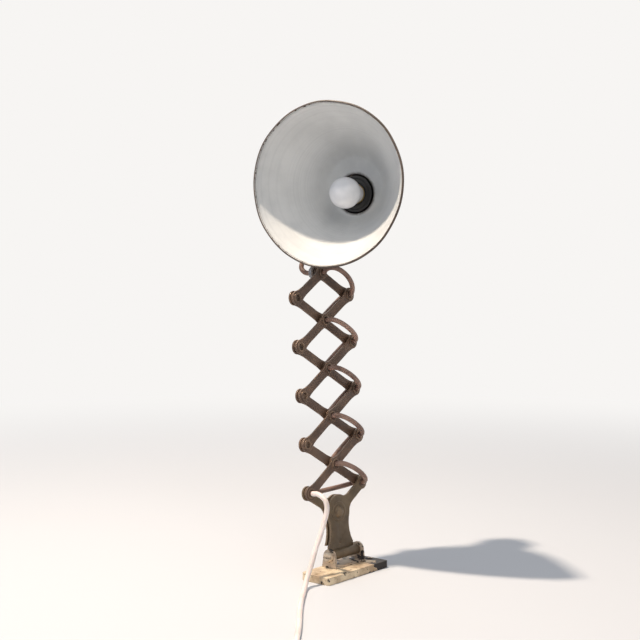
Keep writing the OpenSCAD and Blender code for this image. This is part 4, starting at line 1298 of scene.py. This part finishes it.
@dataclass(frozen=True)
class Shade:
    """The enamelled shade: a spun shell with a rolled rim."""

    neck_radius: float = 26.0
    rim_radius: float = 104.0
    neck_z: float = 36.0
    depth: float = 86.0
    wall: float = 1.0
    wire: float = 1.5
    power: float = 1.4
    offset: float = 9.0
    seat_radius: float = 38.5
    knocks: float = 0.5
    rings: int = 40
    roll_steps: int = 22
    segments: int = 180

    def curve(self, t: float) -> tuple[float, float]:
        """Radius and height of the inner face at t, from the neck to the rim."""
        radius = self.seat_radius + (self.rim_radius - self.seat_radius) * t
        return (radius, self.neck_z + self.wall + (self.depth - self.wall) * t**self.power)

    def outward(self, t: float) -> tuple[float, float]:
        """The inner face's normal at t, towards the lamp."""
        (r0, z0), (r1, z1) = self.curve(max(t - 0.01, 0)), self.curve(min(t + 0.01, 1))
        size = math.hypot(r1 - r0, z1 - z0)
        return (-(z1 - z0) / size, (r1 - r0) / size)

    def shell(self) -> bpy.types.Mesh:
        """Inner and outer face with the rolled rim, in one closed ring, with its own map round and along it."""
        steps = [i / self.rings for i in range(self.rings)]
        inner = [(self.neck_radius, self.neck_z + self.wall, 0.0), *((*self.curve(t), t) for t in steps)]
        nr, nz = self.outward(1.0)
        start = math.atan2(nz, nr) - math.radians(15)
        rim_z = self.neck_z + self.depth
        roll = []
        for i in range(1, self.roll_steps):
            a = start - math.radians(330) * i / self.roll_steps
            roll.append((self.rim_radius + self.wire * math.cos(a), rim_z + self.wire * math.sin(a), 1.0))
        outer = []
        for t in reversed(steps[1:]):
            (r, z), (nr, nz) = self.curve(t), self.outward(t)
            outer.append((r - self.wall * nr, z - self.wall * nz, t))
        outer += [(self.seat_radius + self.wall, self.neck_z, 0.0), (self.neck_radius, self.neck_z, 0.0)]
        profile = inner + roll + outer
        mesh = Maker.lathe([(r, z) for r, z, _ in profile], self.segments, closed=True)
        for coat in (Coat.ENAMEL, Coat.SHADE_OUTSIDE):
            mesh.materials.append(coat.material)
        spun = mesh.uv_layers.new(name="spun")
        count, n = len(profile), self.segments
        for face in mesh.polygons:
            ring, step = divmod(face.index, n)
            face.material_index = int(ring >= len(inner))
            for loop in face.loop_indices:
                at, turn = divmod(mesh.loops[loop].vertex_index, n)
                u = (step + 1) / n if turn == (step + 1) % n else step / n
                spun.data[loop].uv = (u, profile[at][2])
        self.age(mesh, n, count)
        return mesh

    def age(self, mesh: bpy.types.Mesh, around: int, rings: int) -> None:
        """Moves the neck's two rings off the shade's axis, and knocks the rim a little out of round.

        Args:
            mesh: the turned shell, in millimetres.
            around: vertices in each ring.
            rings: number of rings.
        """
        gap = [0.0] * len(mesh.vertices)
        for vertex in mesh.vertices:
            ring, step = divmod(vertex.index, around)
            if ring in (0, rings - 1):
                vertex.co.y -= self.offset
                continue
            gap[vertex.index] = math.hypot(vertex.co.x, vertex.co.y + self.offset) - self.neck_radius
            turn = 2 * math.pi * step / around
            reach = max(0.0, (vertex.co.z - self.neck_z) / self.depth) ** 2
            waves = math.sin(3 * turn + 0.8) + 0.5 * math.sin(7 * turn + 2.1) + 0.3 * math.sin(13 * turn)
            swell = self.knocks * reach * waves
            vertex.co.x += swell * math.cos(turn)
            vertex.co.y += swell * math.sin(turn)
        mesh.attributes.new("neck_gap", "FLOAT", "POINT").data.foreach_set("value", gap)

    def build(self) -> None:
        """Spins the shade."""
        mesh = Maker.placed(self.shell(), LAMP.shade_axis() @ Matrix.Translation((0, self.offset, 0)))
        Maker.tidy(mesh, sharp=35)
        shown = Maker.show("shade_shown", mesh)
        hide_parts("shade")
        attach(shown, "shade_head")
        log.info("shade_shown: %d faces", len(mesh.polygons))


@dataclass(frozen=True)
class Bulb:
    """Frosted round bulb with a smooth neck, in its brass cap."""

    centre: float = 69.0
    radius: float = 20.5
    neck_radius: float = 12.4
    base: float = 39.0

    def profile(self) -> list[tuple[float, float]]:
        """The glass from its cap to its crown, the neck flowing into the ball."""
        points = [(0.0, self.base), (self.neck_radius, self.base), (self.neck_radius, self.base + 4)]
        join = math.radians(-52)
        r1, z1 = self.radius * math.cos(join), self.centre + self.radius * math.sin(join)
        for i in range(1, 13):
            t = i / 13
            a = Vector((self.neck_radius, self.base + 4, 0))
            d = Vector((r1, z1, 0))
            b = a + Vector((0, 7, 0))
            c = d - 5 * Vector((-math.sin(join), math.cos(join), 0))
            p = bezier(a, b, c, d, t)
            points.append((p.x, p.y))
        for i in range(33):
            a = join + (math.pi / 2 - join) * i / 32
            points.append((self.radius * math.cos(a) if i < 32 else 0.0, self.centre + self.radius * math.sin(a)))
        return points

    def build(self) -> None:
        """Blows the bulb and dresses its cap."""
        mesh = Maker.placed(Maker.lathe(self.profile(), 96), LAMP.shade_axis())
        Maker.tidy(mesh, sharp=60)
        shown = Maker.show("bulb_shown", mesh, Coat.GLASS)
        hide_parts("bulb_glass")
        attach(shown, "shade_head")
        Maker.rounded_copy("bulb_cap", Coat.BRASS, 0.2, "shade_head")


@dataclass(frozen=True)
class Head:
    """Arm, swivel, tilt joint, cup, gland and lampholder."""

    edge: float = 0.4

    def build(self) -> None:
        """Dresses the head."""
        Maker.rounded_copy("clamp_nut", Coat.STEEL, 0.3, "clamp_nut")
        Maker.rounded_copy("head_arm", Coat.ARM, 0.25, "head_arm", sharp=50)
        Maker.rounded_copy("swivel_block", Coat.ARM, self.edge, "swivel_block")
        Maker.rounded_copy("tilt_bolt", Coat.STEEL, 0.3, "shade_head")
        Maker.rounded_copy("wing_nut", Coat.STEEL, 0.4, "wing_nut")
        Maker.rounded_copy("shade_cup", Coat.ARM, 0.3, "shade_head")
        Maker.rounded_copy("cord_gland", Coat.RUBBER, 0.3, "shade_head")
        Maker.rounded_copy("lampholder", Coat.BAKELITE, 0.5, "shade_head")


def main() -> None:
    """Builds the lamp from the camera and the cords to the bulb."""
    logging.basicConfig(level=logging.INFO, format="%(name)s: %(message)s")
    Studio().build()
    ThreadedCord().build()
    Foot().build()
    Scissor().build()
    Head().build()
    Shade().build()
    Bulb().build()


if __name__ == "__main__":
    main()
